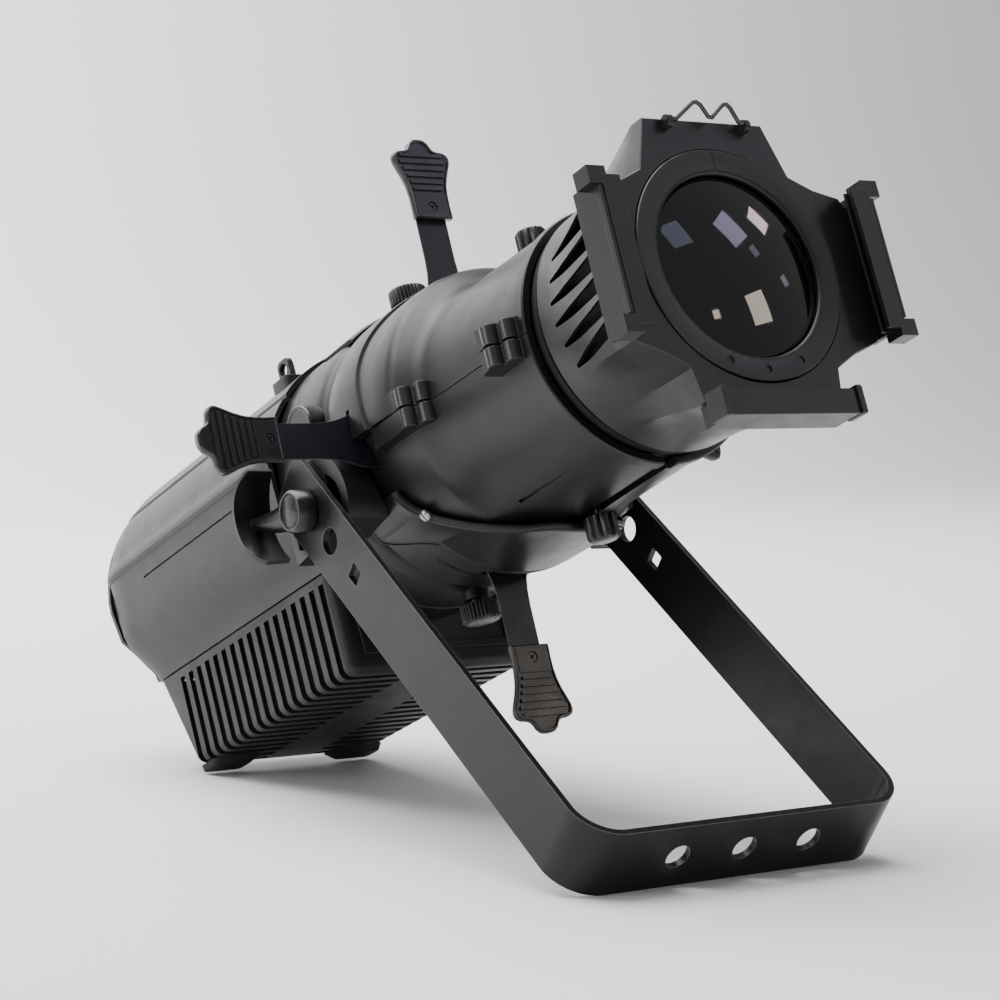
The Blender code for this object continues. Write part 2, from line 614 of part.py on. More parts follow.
def build_rails(tube):
    """Three channels round the front plate that hold a colour frame, with end blocks."""
    face = HEAD_FRONT + GAP
    for name, side in (("frame_rail_left", -1), ("frame_rail_right", 1)):
        channel = [(104.3, HEAD_FRONT - 12.0), (109.0, HEAD_FRONT - 12.0), (109.0, RAIL_FRONT),
                   (95.0, RAIL_FRONT), (95.0, RAIL_FRONT - 3.5), (105.0, RAIL_FRONT - 3.5),
                   (105.0, face + 9.2), (97.0, face + 9.2), (97.0, face + 7.6), (104.3, face + 7.6)]
        rail = prism(name, tube, [(side * x, s) for x, s in channel], -49.0, 49.0, SATIN_BLACK)
        for low, high in ((43.0, 55.0), (-55.0, -43.0)):
            x_low, x_high = sorted((side * 104.6, side * 119.0))
            cap = block("end_block", tube, (x_low, RAIL_FRONT - 15.0, low), (x_high, RAIL_FRONT - 0.4, high),
                        NO_LOOK)
            weld(rail, cap)
    channel = [(HEAD_FRONT - 10.0, -92.4), (HEAD_FRONT - 10.0, -107.0), (RAIL_FRONT - 3.0, -107.0),
               (RAIL_FRONT - 3.0, -90.0), (RAIL_FRONT - 6.5, -90.0), (RAIL_FRONT - 6.5, -97.0), (face, -97.0),
               (face, -92.4)]
    prism("frame_rail_bottom", tube, channel, -53.0, 53.0, SATIN_BLACK, "x")


def build_optics(tube):
    front = HEAD_FRONT - 5.0
    rear = TUBE_REAR
    outer, inner = TUBE_R, TUBE_R - TUBE_WALL
    profile = [(rear, inner), (rear, outer), (HEAD_REAR + 11.7, outer), (HEAD_REAR + 16.0, 81.4),
               (front, 81.4), (front, 77.5), (HEAD_REAR + 16.0, 77.5)]
    body = turned("lens_tube", tube, profile, SATIN_BLACK)
    for name, sign in (("top", 1), ("bottom", -1)):
        hole_span = sorted((sign * 70.0, sign * 95.0))
        knob_span = sorted((sign * 97.0, sign * 115.0))
        stud_span = sorted((sign * 81.0, sign * 101.0))
        combine(body, prism("stud_hole_" + name, tube, disc(3.4, 14, FOCUS_CENTRE), *hole_span, NO_LOOK))
        knob = prism("focus_knob_" + name, tube, fluted(11.5, 1.6, 10, FOCUS_CENTRE), *knob_span, PLASTIC)
        weld(knob, prism("knob_stud_" + name, tube, disc(3.0, 12, FOCUS_CENTRE), *stud_span, NO_LOOK))
    turned("lens_ring", tube, [(HEAD_FRONT - 3.0, LENS_OPEN_R), (HEAD_FRONT - 3.0, PLATE_HOLE_R - 0.7),
                               (HEAD_FRONT + 1.2, PLATE_HOLE_R - 0.7), (HEAD_FRONT + 1.2, LENS_OPEN_R + 1.5),
                               (HEAD_FRONT - 0.5, LENS_OPEN_R)], SATIN_BLACK)
    edge = HEAD_FRONT - 12.0
    crown = [(edge + 8.6 + 9.0 * (1.0 - (r / 62.0) ** 2), r) for r in (62.0, 44.0, 22.0, 0.0)]
    rim = [(edge - 8.0, 0.0), (edge - 6.0, LENS_R), (edge, LENS_R), (edge + 3.0, 69.0)]
    turned("front_lens", tube, rim + crown, GLASS)
    profile = [(134.0, 0.0), (137.0, 40.0), (143.0, 76.0), (149.0, 76.0), (149.0, 0.0)]
    turned("rear_lens", tube, profile, GLASS)


def build_clip(tube):
    """Spring wire that keeps the colour frame in its rails, hinged on two eyes on the top flap."""
    route = ((-34.0, 0.0), (-24.0, 0.0), (-9.0, 12.5), (-5.0, 12.5), (2.0, 1.5), (16.0, 12.5), (20.0, 12.5),
             (25.0, 0.0), (34.0, 0.0))
    curve = bpy.data.curves.new("frame_clip", "CURVE")
    curve.dimensions = "3D"
    curve.bevel_depth = 1.2 * MM
    curve.bevel_resolution = 2
    curve.use_fill_caps = True
    spline = curve.splines.new("POLY")
    spline.points.add(len(route) - 1)
    for point, (x, rise) in zip(spline.points, route):
        point.co = (x * MM, -0.12 * rise * MM, rise * MM, 1.0)
    hinge = bpy.data.objects.new("clip_hinge", None)
    bpy.context.collection.objects.link(hinge)
    hinge.parent = tube
    hinge.location = lamp_point(0.0, CLIP_S, CLIP_N)
    clip = bpy.data.objects.new("frame_clip", curve)
    bpy.context.collection.objects.link(clip)
    clip.parent = hinge
    steel = bpy.data.materials.new("frame_clip")
    steel.use_nodes = True
    shader = steel.node_tree.nodes["Principled BSDF"]
    shader.inputs["Base Color"].default_value = (*STEEL[0], 1.0)
    shader.inputs["Roughness"].default_value = STEEL[1]
    shader.inputs["Metallic"].default_value = STEEL[2]
    curve.materials.append(steel)


# --- yoke and tilt locks --------------------------------------------------------------------------
def build_yoke(yoke):
    """A flat strip bent to a U, with round arm ends, drawn as cross-sections along its middle line."""
    half = YOKE_HALF - YOKE_THICK / 2
    end = YOKE_WIDTH / 2
    far = YOKE_REACH - YOKE_THICK / 2
    bend = YOKE_BEND - YOKE_THICK / 2
    path = []
    for i in range(5):
        angle = math.radians(90.0 * i / 4)
        drop = YOKE_CORNER * (1 - math.cos(angle))
        path.append((half, drop - YOKE_TOP, end - YOKE_CORNER * (1 - math.sin(angle))))
    path.append((half, far - bend, end))
    for i in range(1, 7):
        angle = math.radians(90.0 * i / 6)
        path.append((half - bend + bend * math.cos(angle), far - bend + bend * math.sin(angle), end))
    path += [(-x, d, width) for x, d, width in reversed(path)]
    rings = []
    for i, (x, d, width) in enumerate(path):
        before = path[max(i - 1, 0)]
        after = path[min(i + 1, len(path) - 1)]
        run = Vector((after[0] - before[0], after[1] - before[1]))
        run.normalize()
        if abs(run.x) < 0.08:
            run = Vector((0.0, math.copysign(1.0, run.y)))
        offset = Vector((run.y, -run.x)) * YOKE_THICK / 2
        outer, inner = (x + offset.x, d + offset.y), (x - offset.x, d - offset.y)
        rings.append([lamp_point(*outer, width), lamp_point(*inner, width),
                      lamp_point(*inner, -width), lamp_point(*outer, -width)])
    strip = loft("yoke", yoke, rings, YOKE_STEEL)
    reach = YOKE_HALF + 10.0
    for radius, d in ((6.6, 0.0), (9.5, 36.0)):
        combine(strip, prism("arm_hole", yoke, disc(radius, 16, (d, 0.0)), -reach, reach, NO_LOOK, "x"))
    window = disc(8.5, 4, (74.0, 0.0), math.pi / 4)
    combine(strip, prism("arm_window", yoke, window, -reach, reach, NO_LOOK, "x"))
    for x in (-54.0, 0.0, 54.0):
        circle = disc(9.0, 16, (x, 0.0))
        drill = [[lamp_point(a, d, b) for a, b in circle] for d in (YOKE_REACH - 15.0, YOKE_REACH + 10.0)]
        combine(strip, loft("bar_hole", yoke, drill, NO_LOOK))


def build_tilt_handles(lamp):
    """Clamping levers outside the yoke's arms: hub, arm and a curved paddle behind the pivot."""
    start = YOKE_HALF + GAP
    pivot = (0.0, -AXIS_RISE)
    arm = [(-48.0, pivot[1] + 8.0), (-48.0, pivot[1] - 4.0), (0.0, pivot[1] - 10.5), (0.0, pivot[1] + 10.5)]
    paddle = []
    for radius, sweep in ((PADDLE_R, 1), (PADDLE_R - 5.0, -1)):
        for i in range(9):
            angle = math.radians(180.0 + sweep * (-46.0 + 11.5 * i))
            paddle.append((radius * math.cos(angle), pivot[1] + PADDLE_RISE + radius * math.sin(angle)))
    for name, side in (("left", -1), ("right", 1)):
        def across(low, high, side=side):
            return sorted((side * low, side * high))

        hub = prism("tilt_handle_" + name, lamp, disc(15.0, 28, pivot), *across(start, start + 15.0),
                    PLASTIC, "x")
        for piece, outline, low, high in (("arm", arm, start + 2.0, start + 13.0),
                                          ("paddle", paddle, start + 1.0, start + 31.0),
                                          ("stud", disc(6.0, 20, pivot), 107.0, start + 5.0)):
            weld(hub, prism("lever_%s_%s" % (piece, name), lamp, outline, *across(low, high), NO_LOOK, "x"))


# --- assembly -------------------------------------------------------------------------------------
def empty(name, location, turn, parent=None):
    obj = bpy.data.objects.new(name, None)
    bpy.context.collection.objects.link(obj)
    obj.location = location
    obj.rotation_euler = (turn, 0.0, 0.0)
    obj.parent = parent
    return obj


def main():
    for obj in list(bpy.data.objects):
        bpy.data.objects.remove(obj, do_unlink=True)
    pivot = Vector((CENTRE_X, CENTRE_Y, PIVOT_Z)) * MM
    rise = Vector((0.0, math.sin(TILT), math.cos(TILT))) * AXIS_RISE * MM
    lamp = empty("optical_axis", pivot + rise, -TILT)
    yoke = empty("yoke_pivot", pivot, YOKE_DROP)
    build_housing(lamp)
    build_collar(lamp)
    build_vent_box(lamp)
    build_feet(lamp)
    build_rear_cover(lamp)
    build_inside(lamp)
    build_pivots(lamp)
    build_jaw(lamp)
    build_rotation_knobs(lamp)
    build_barrel(lamp)
    build_gate(lamp)
    build_shutters(lamp)
    build_head(lamp)
    build_rails(lamp)
    build_optics(lamp)
    build_clip(lamp)
    build_yoke(yoke)
    build_tilt_handles(lamp)


main()
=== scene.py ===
"""Looks of the ellipsoidal spotlight: detailed shells, coated metal, moulded plastic, glass and studio light.

Sizes are in millimetres in the lamp's own frame: x to the side, s forward along the optical axis from
the tilt pivot, n up from that axis. The yoke is drawn as x, d (towards its bar) and w (across the strip).
"""
import json
import math

import bmesh
import bpy
from mathutils import Matrix, Vector


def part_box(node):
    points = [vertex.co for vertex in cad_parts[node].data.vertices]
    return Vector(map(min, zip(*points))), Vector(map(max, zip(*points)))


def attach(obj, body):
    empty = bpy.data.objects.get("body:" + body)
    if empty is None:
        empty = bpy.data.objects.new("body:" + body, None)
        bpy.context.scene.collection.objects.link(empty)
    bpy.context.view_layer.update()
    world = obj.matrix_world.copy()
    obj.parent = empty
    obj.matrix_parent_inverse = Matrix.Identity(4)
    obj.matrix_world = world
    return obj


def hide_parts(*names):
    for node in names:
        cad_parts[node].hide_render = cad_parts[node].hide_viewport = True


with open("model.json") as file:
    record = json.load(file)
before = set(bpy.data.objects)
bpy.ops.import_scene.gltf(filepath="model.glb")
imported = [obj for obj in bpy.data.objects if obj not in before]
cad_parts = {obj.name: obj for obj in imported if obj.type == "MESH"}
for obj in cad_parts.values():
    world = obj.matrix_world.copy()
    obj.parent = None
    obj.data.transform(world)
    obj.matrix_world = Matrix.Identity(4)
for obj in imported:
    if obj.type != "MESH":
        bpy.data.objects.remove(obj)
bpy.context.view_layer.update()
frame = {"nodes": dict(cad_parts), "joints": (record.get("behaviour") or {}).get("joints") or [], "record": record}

MM = 0.001
JOINTS = {joint["name"]: joint for joint in frame["joints"]}
PIVOT = Vector(JOINTS["yoke_tilt"]["pos_m"])
AXIS_POINT = Vector(JOINTS["barrel_rotation"]["pos_m"])
FORWARD = Vector(JOINTS["barrel_rotation"]["axis"]).normalized()
SIDE = Vector((1.0, 0.0, 0.0))
UP = SIDE.cross(-FORWARD).normalized()
BAR = {mount["name"]: mount for mount in frame["record"]["mounts"]}["yoke_bar_face"]
REACH_DIR = Vector(BAR["axis"]).normalized()
YOKE_UP = SIDE.cross(-REACH_DIR).normalized()

AXIS_RISE = (AXIS_POINT - PIVOT).length / MM
HOUSING_R = 118.0
HOUSING_FRONT = -68.0
HOUSING_REAR = -347.0
BOX_TOP, BOX_BOTTOM, BOX_HALF = -58.0, -136.0, 83.0
SLOTS, SLOT_FIRST, SLOT_PITCH, SLOT_WIDTH = 17, -81.0, 14.2, 7.4
COLLAR_R, COLLAR_RISE = 107.0, 9.0
BARREL_REAR, BARREL_RIM, BARREL_R, GATE_R = 6.0, 236.0, 92.0, 112.0
SPLIT = 0.45
TUBE_R = 84.0
HEAD_REAR, HEAD_FRONT = 248.0, 347.0
PLATE_HOLE_R, LENS_OPEN_R = 80.5, 63.0
RAIL_FRONT = 366.0
YOKE_HALF, YOKE_THICK, YOKE_WIDTH, YOKE_BEND = 132.0, 4.5, 50.0, 30.0
YOKE_TOP, YOKE_CORNER = 36.0, 10.0
YOKE_REACH = (Vector(BAR["pos_m"]) - PIVOT).dot(REACH_DIR) / MM
# The barrel's clamp bosses, rear and front: s rear, s shoulder, s front, outer |x|.
BOSSES = ((62.0, 102.0, 122.0, 110.0), (198.0, 208.0, 229.0, 107.0))
BOSS_ROOT, BOSS_NOSE, BOSS_HALF = 88.5, 93.0, 14.8
HOUSING_WALL, HOUSING_TAPER, REAR_ROUNDING = 3.5, 0.036, 26.0
BOX_WALL, BOX_SLOPE, BOX_ROUNDING = 3.2, 30.0, 7.0
FOCUS_S, ROTATION_S = 150.0, -9.0
JAW_START, JAW_SWEEP, JAW_INNER = 114.0, 132.0, 100.9
BAR_HOLES, BAR_HOLE_R = (-54.0, 0.0, 54.0), 9.0
LENS_R = 62.0
# Where each shutter crosses the barrel, as s.
SHUTTERS = (("top", 40.0), ("bottom", 34.0), ("left", 46.0), ("right", 52.0))
SIDES = (("left", -1), ("right", 1))
ROUND = 128


# --- points and outlines -------------------------------------------------------------------------
def lamp(x, s, n):
    """A point of the lamp's frame, in metres."""
    return AXIS_POINT + (SIDE * x + FORWARD * s + UP * n) * MM


def on_yoke(x, d, w):
    """A point of the yoke's frame, in metres."""
    return PIVOT + (SIDE * x + REACH_DIR * d + YOKE_UP * w) * MM


def at_section(spot, s):
    """A point of the lamp's frame from an (x, n) vector and s."""
    return lamp(spot.x, s, spot.y)


def disc(radius, count=48, centre=(0.0, 0.0), start=0.0):
    angles = [start + 2 * math.pi * i / count for i in range(count)]
    return [(centre[0] + radius * math.cos(a), centre[1] + radius * math.sin(a)) for a in angles]


def smoothstep(low, high, value):
    t = min(max((value - low) / (high - low), 0.0), 1.0)
    return t * t * (3 - 2 * t)


def rounded(outline, radius, steps=4):
    """An outline whose corners are replaced by small arcs."""
    result = []
    count = len(outline)
    for i in range(count):
        corner = Vector(outline[i])
        before = (Vector(outline[i - 1]) - corner)
        after = (Vector(outline[(i + 1) % count]) - corner)
        reach = min(radius, before.length * 0.45, after.length * 0.45)
        start = corner + before.normalized() * reach
        end = corner + after.normalized() * reach
        for k in range(steps + 1):
            t = k / steps
            point = start * (1 - t) ** 2 + corner * 2 * t * (1 - t) + end * t ** 2
            result.append((point.x, point.y))
    return result


def filled_in(points, longest):
    """An outline with points added so that no side is longer than a given length."""
    result = []
    for i, (x, n) in enumerate(points):
        next_x, next_n = points[(i + 1) % len(points)]
        parts = max(1, math.ceil(math.hypot(next_x - x, next_n - n) / longest))
        result += [(x + (next_x - x) * j / parts, n + (next_n - n) * j / parts) for j in range(parts)]
    return result


# --- mesh building -------------------------------------------------------------------------------
def make(name, vertices, faces):
    mesh = bpy.data.meshes.new(name)
    bm = bmesh.new()
    handles = [bm.verts.new(v) for v in vertices]
    for face in faces:
        bm.faces.new([handles[i] for i in face])
    bmesh.ops.remove_doubles(bm, verts=bm.verts, dist=1e-6)
    bmesh.ops.recalc_face_normals(bm, faces=bm.faces)
    bm.to_mesh(mesh)
    bm.free()
    obj = bpy.data.objects.new(name, mesh)
    bpy.context.scene.collection.objects.link(obj)
    return obj


def loft(name, rings, closed=False):
    """Skin equal loops of points. A closed loft joins its last loop to its first."""
    count = len(rings[0])
    vertices = [v for ring in rings for v in ring]
    faces = []
    for i in range(len(rings) if closed else len(rings) - 1):
        a = i * count
        b = (i + 1) % len(rings) * count
        for j in range(count):
            k = (j + 1) % count
            faces.append((a + j, a + k, b + k, b + j))
    if not closed:
        faces.append(tuple(range(count)))
        faces.append(tuple(range(len(vertices) - count, len(vertices))))
    return make(name, vertices, faces)


def turned(name, profile, start=0.0, sweep=360.0, steps=ROUND):
    """Turn a closed (s, r) profile round the optical axis; angles count from the top."""
    full = sweep >= 360.0
    rings = []
    for i in range(steps if full else steps + 1):
        angle = math.radians(start + sweep * i / steps)
        rings.append([lamp(r * math.sin(angle), s, r * math.cos(angle)) for s, r in profile])
    return loft(name, rings, closed=full)


def prism(name, outline, low, high, along="n", place=lamp):
    """Extrude an outline along s, n or x. It is given in (x, n), (x, s) or (s, n)."""
    def point(a, b, c):
        if along == "s":
            return place(a, c, b)
        if along == "n":
            return place(a, b, c)
        return place(c, a, b)
    return loft(name, [[point(a, b, level) for a, b in outline] for level in (low, high)])


def block(name, low, high):
    outline = [(low[0], low[1]), (high[0], low[1]), (high[0], high[1]), (low[0], high[1])]
    return prism(name, outline, low[2], high[2])


def joined(name, objects):
    """Join loose objects into one mesh object."""
    bm = bmesh.new()
    for obj in objects:
        bm.from_mesh(obj.data)
        bpy.data.objects.remove(obj)
    mesh = bpy.data.meshes.new(name)
    bm.to_mesh(mesh)
    bm.free()
    result = bpy.data.objects.new(name, mesh)
    bpy.context.scene.collection.objects.link(result)
    return result


def combine(obj, tool, operation="DIFFERENCE"):
    """Cut or weld with a tool, apply the result and drop the tool."""
    step = obj.modifiers.new("step", "BOOLEAN")
    step.operation = operation
    step.object = tool
    step.solver = "EXACT"
    graph = bpy.context.evaluated_depsgraph_get()
    graph.update()
    mesh = bpy.data.meshes.new_from_object(obj.evaluated_get(graph))
    obj.modifiers.clear()
    obj.data = mesh
    bpy.data.objects.remove(tool)
    return obj


def weld(obj, tool):
    return combine(obj, tool, "UNION")


def soften(obj, width, angle=32.0, segments=2):
    """Round the sharp edges by a width in millimetres and shade the rest smooth."""
    if width > 0:
        bevel = obj.modifiers.new("edges", "BEVEL")
        bevel.width = width * MM
        bevel.segments = segments
        bevel.limit_method = "ANGLE"
        bevel.angle_limit = math.radians(angle)
        bevel.use_clamp_overlap = True
        bevel.harden_normals = True
    obj.data.shade_smooth()
    obj.data.set_sharp_from_angle(angle=math.radians(angle + 6.0))
    return obj


def place(obj, body, look, slot, stands_for=(), bevel=0.0, angle=32.0):
    """Give a piece its edges, material and body, and hide the CAD nodes that it stands for. The slot argument is
    not used.
    """
    soften(obj, bevel, angle)
    obj.data.materials.clear()
    obj.data.materials.append(look)
    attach(obj, body)
    if stands_for:
        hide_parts(*stands_for)
    return obj


# --- materials -----------------------------------------------------------------------------------
# Width of the lighter edge band, which is partly rubbed paint and partly painted highlight.
EDGE_WEAR_AND_HIGHLIGHT_WIDTH = 0.0007


def surface(name, colour, roughness, metallic=0.0, grain=1400.0, depth=0.15, tone=0.25, edge_wear_and_highlight=0.0, **extra):
    """A coated or moulded surface: fine grain, uneven gloss, slow change of tone, and edges painted lighter grey,
    partly rubbed paint and partly painted highlight.
    """
    material = bpy.data.materials.new(name)
    material.use_nodes = True
    nodes = material.node_tree.nodes
    links = material.node_tree.links
    shader = nodes["Principled BSDF"]
    shader.inputs["Metallic"].default_value = metallic
    for socket, value in extra.items():
        shader.inputs[socket.replace("_", " ")].default_value = value
    coords = nodes.new("ShaderNodeTexCoord")

    def noise(scale, detail):
        node = nodes.new("ShaderNodeTexNoise")
        node.inputs["Scale"].default_value = scale
        node.inputs["Detail"].default_value = detail
        links.new(coords.outputs["Object"], node.inputs["Vector"])
        return node

    def remap(source, low, high):
        node = nodes.new("ShaderNodeMapRange")
        node.inputs["To Min"].default_value = low
        node.inputs["To Max"].default_value = high
        node.inputs["From Min"].default_value = 0.3
        node.inputs["From Max"].default_value = 0.7
        links.new(source, node.inputs["Value"])
        return node

    slow = noise(14.0, 4.0)
    fine = noise(grain, 2.0)
    mix = nodes.new("ShaderNodeMix")
    mix.data_type = "RGBA"
    mix.inputs[6].default_value = (*[c * (1 - tone) for c in colour], 1.0)
    mix.inputs[7].default_value = (*[c * (1 + tone) for c in colour], 1.0)
    links.new(slow.outputs["Fac"], mix.inputs[0])
    tint = mix.outputs[2]
    # Edges painted lighter grey: partly rubbed paint, partly painted highlight where thin edges catch the light.
    if edge_wear_and_highlight > 0:
        geometry = nodes.new("ShaderNodeNewGeometry")
        softened = nodes.new("ShaderNodeBevel")
        softened.inputs["Radius"].default_value = EDGE_WEAR_AND_HIGHLIGHT_WIDTH
        match = nodes.new("ShaderNodeVectorMath")
        match.operation = "DOT_PRODUCT"
        links.new(softened.outputs["Normal"], match.inputs[0])
        links.new(geometry.outputs["Normal"], match.inputs[1])
        edge = nodes.new("ShaderNodeMapRange")
        edge.inputs["From Min"].default_value = 0.99
        edge.inputs["From Max"].default_value = 0.90
        edge.inputs["To Max"].default_value = edge_wear_and_highlight
        links.new(match.outputs["Value"], edge.inputs["Value"])
        edge_wear_and_highlight_mix = nodes.new("ShaderNodeMix")
        edge_wear_and_highlight_mix.data_type = "RGBA"
        edge_wear_and_highlight_mix.inputs[7].default_value = (0.16, 0.16, 0.165, 1.0)
        links.new(edge.outputs["Result"], edge_wear_and_highlight_mix.inputs[0])
        links.new(tint, edge_wear_and_highlight_mix.inputs[6])
        tint = edge_wear_and_highlight_mix.outputs[2]
    links.new(tint, shader.inputs["Base Color"])
    gloss = remap(noise(60.0, 5.0).outputs["Fac"], roughness - 0.04, roughness + 0.05)
    links.new(gloss.outputs["Result"], shader.inputs["Roughness"])
    bump = nodes.new("ShaderNodeBump")
    bump.inputs["Strength"].default_value = depth
    bump.inputs["Distance"].default_value = 0.0004
    links.new(fine.outputs["Fac"], bump.inputs["Height"])
    links.new(bump.outputs["Normal"], shader.inputs["Normal"])
    return material


CASTING = surface("satin_black_casting", (0.0048, 0.0052, 0.0054), 0.38, grain=1500.0, depth=0.14, edge_wear_and_highlight=0.25,
                  Specular_IOR_Level=0.42)
BOX_COAT = surface("textured_black_box", (0.0050, 0.0053, 0.0056), 0.44, grain=900.0, depth=0.35, edge_wear_and_highlight=0.3,
                   Specular_IOR_Level=0.38)
# The yoke's edges are painted lighter at full strength: painted highlight on its thin edges, as well as rubbed
# paint.
YOKE_COAT = surface("yoke_black_coat", (0.0045, 0.0045, 0.0047), 0.33, grain=1300.0, depth=0.08, edge_wear_and_highlight=1.0,
                    Specular_IOR_Level=0.3)
MOULDED = surface("black_plastic", (0.0040, 0.0042, 0.0047), 0.29, grain=700.0, depth=0.1, edge_wear_and_highlight=0.35,
                  Specular_IOR_Level=0.5)
STRAP = surface("blackened_steel", (0.0055, 0.0062, 0.0098), 0.36, grain=1800.0, depth=0.05, edge_wear_and_highlight=0.3,
                Specular_IOR_Level=0.4)
TUBE_BLACK = surface("tube_black", (0.003, 0.003, 0.0032), 0.55, grain=1500.0, depth=0.1,
                     Specular_IOR_Level=0.2)
BRIGHT = surface("plain_steel", (0.35, 0.35, 0.36), 0.28, metallic=1.0, grain=2200.0, depth=0.05)
WIRE = surface("clip_wire_steel", (0.07, 0.07, 0.075), 0.25, metallic=1.0, grain=2200.0, depth=0.03)
CLAMP = surface("clamp_metal", (0.05, 0.052, 0.055), 0.3, metallic=0.7, grain=1200.0, depth=0.12, edge_wear_and_highlight=0.3)
DARK_METAL = surface("dark_rivet", (0.045, 0.045, 0.047), 0.25, metallic=0.8, grain=2000.0, depth=0.05)
ALUMINIUM = surface("bare_aluminium", (0.5, 0.51, 0.52), 0.35, metallic=1.0, grain=900.0, depth=0.08)
BOARD = surface("circuit_board", (0.02, 0.09, 0.04), 0.5, grain=900.0, depth=0.1)
RUBBER = surface("rubber", (0.006, 0.006, 0.006), 0.75, grain=900.0, depth=0.2)
DISPLAY = surface("display", (0.02, 0.03, 0.035), 0.1, grain=200.0, depth=0.01)
LENS = surface("lens_glass", (0.0015, 0.0008, 0.0018), 0.02, grain=300.0, depth=0.0, tone=0.1,
               Specular_IOR_Level=0.6)
# Near-black and rough: painted shade for the inside of the vented box.
PAINTED_SHADE = surface("shadow_black", (0.002, 0.002, 0.002), 0.8, grain=500.0, depth=0.05, Specular_IOR_Level=0.1)


# --- rear housing, box and collar ----------------------------------------------------------------
def housing_half(shrink=0.0):
    """Right half of the housing's section: dome, two long creases, then a sweep in to the box."""
    points = []
    for degrees in range(0, 46, 3):
        points.append((degrees, HOUSING_R))
    points += [(46.5, HOUSING_R), (47.2, HOUSING_R - 1.6), (48.4, HOUSING_R - 1.7), (49.5, HOUSING_R - 0.4)]
    points += [(degrees, HOUSING_R - 0.3) for degrees in range(52, 71, 3)]
    half = []
    for degrees, r in points:
        angle = math.radians(degrees)
        half.append(((r - shrink) * math.sin(angle), (r - shrink) * math.cos(angle)))
    side = [(112.5, 37.0), (115.0, 33.0), (116.0, 29.5), (115.4, 27.0), (113.6, 25.4), (113.3, 18.0),
            (113.0, 8.0), (112.0, -6.0), (110.0, -19.0), (106.0, -29.0), (99.5, -37.0), (92.5, -43.0),
            (88.0, -48.5), (85.5, -53.0), (84.2, BOX_TOP + 1.0)]
    return half + [(x - shrink, n) for x, n in side]


def build_housing():
    outer = housing_half()
    inner = housing_half(HOUSING_WALL)
    strip = [(-x, n) for x, n in reversed(outer)] + outer[1:] + inner[::-1] + [(-x, n) for x, n in inner[1:]]
    turning = HOUSING_REAR + REAR_ROUNDING
    stations = [(HOUSING_FRONT, 1.0), (-120.0, 1.0), (-200.0, 1.0), (-280.0, 1.0), (turning, 1.0)]
    for i in range(1, 9):
        angle = math.radians(90.0 * i / 9)
        size = 1.0 - HOUSING_TAPER * (1 - math.cos(angle))
        stations.append((turning - REAR_ROUNDING * math.sin(angle), size))
    rings = [[lamp(x * size, s, n * size if n > 0 else n) for x, n in strip] for s, size in stations]
    shell = loft("housing_shell", rings)
    slits = []
    for side in (-1, 1):
        slits.append(block("slit", (side * 111.3, -284.0, 11.6), (side * 118.0, -120.0, 13.2)))
    combine(shell, joined("slits", slits))
    place(shell, "engine", CASTING, "satin_black_casting", ["rear_housing"], 0.7, 28.0)
    build_safety_eye()


def build_safety_eye():
    """The eye for the safety wire, on the rear housing's left shoulder, and the disc on its left side."""
    plate = [(-110.0, 99.8), (-110.0, 121.8), (-94.0, 121.8), (-92.2, 112.0), (-92.2, 99.8)]
    eye = prism("safety_eye", rounded(plate, 6.0), -62.0, -57.0, "x")
    combine(eye, prism("hole", disc(5.0, 32, (-102.0, 113.5)), -66.0, -50.0, "x"))
    place(eye, "engine", MOULDED, "satin_black_casting", (), 0.8)
    base = [(-68.0, -114.0), (-50.0, -114.0), (-50.0, -90.0), (-68.0, -90.0)]
    foot = prism("safety_eye_foot", rounded(base, 4.0), 96.0, 106.0)
    place(foot, "engine", CASTING, "satin_black_casting", (), 1.0)
    steps = ((-96.0, 17.0), (-112.5, 17.0), (-114.0, 16.0), (-114.0, 14.6), (-113.2, 14.0))
    hub = loft("side_boss", [[lamp(x, s, n) for s, n in disc(r, 64, (-17.0, 33.0))] for x, r in steps])
    place(hub, "engine", MOULDED, "satin_black_casting", (), 0.4)


def box_loop(half, rear, front, level, corner, steps=8):
    """A rectangle with round corners at one level, as points."""
    points = []
    for cx, cs, turn in ((half, front, 0), (-half, front, 1), (-half, rear, 2), (half, rear, 3)):
        mx = cx - math.copysign(corner, cx)
        ms = cs - corner if turn < 2 else cs + corner
        for i in range(steps + 1):
            angle = math.radians(90.0 * (turn + i / steps))
            points.append(lamp(mx + corner * math.cos(angle), ms + corner * math.sin(angle), level))
    return points


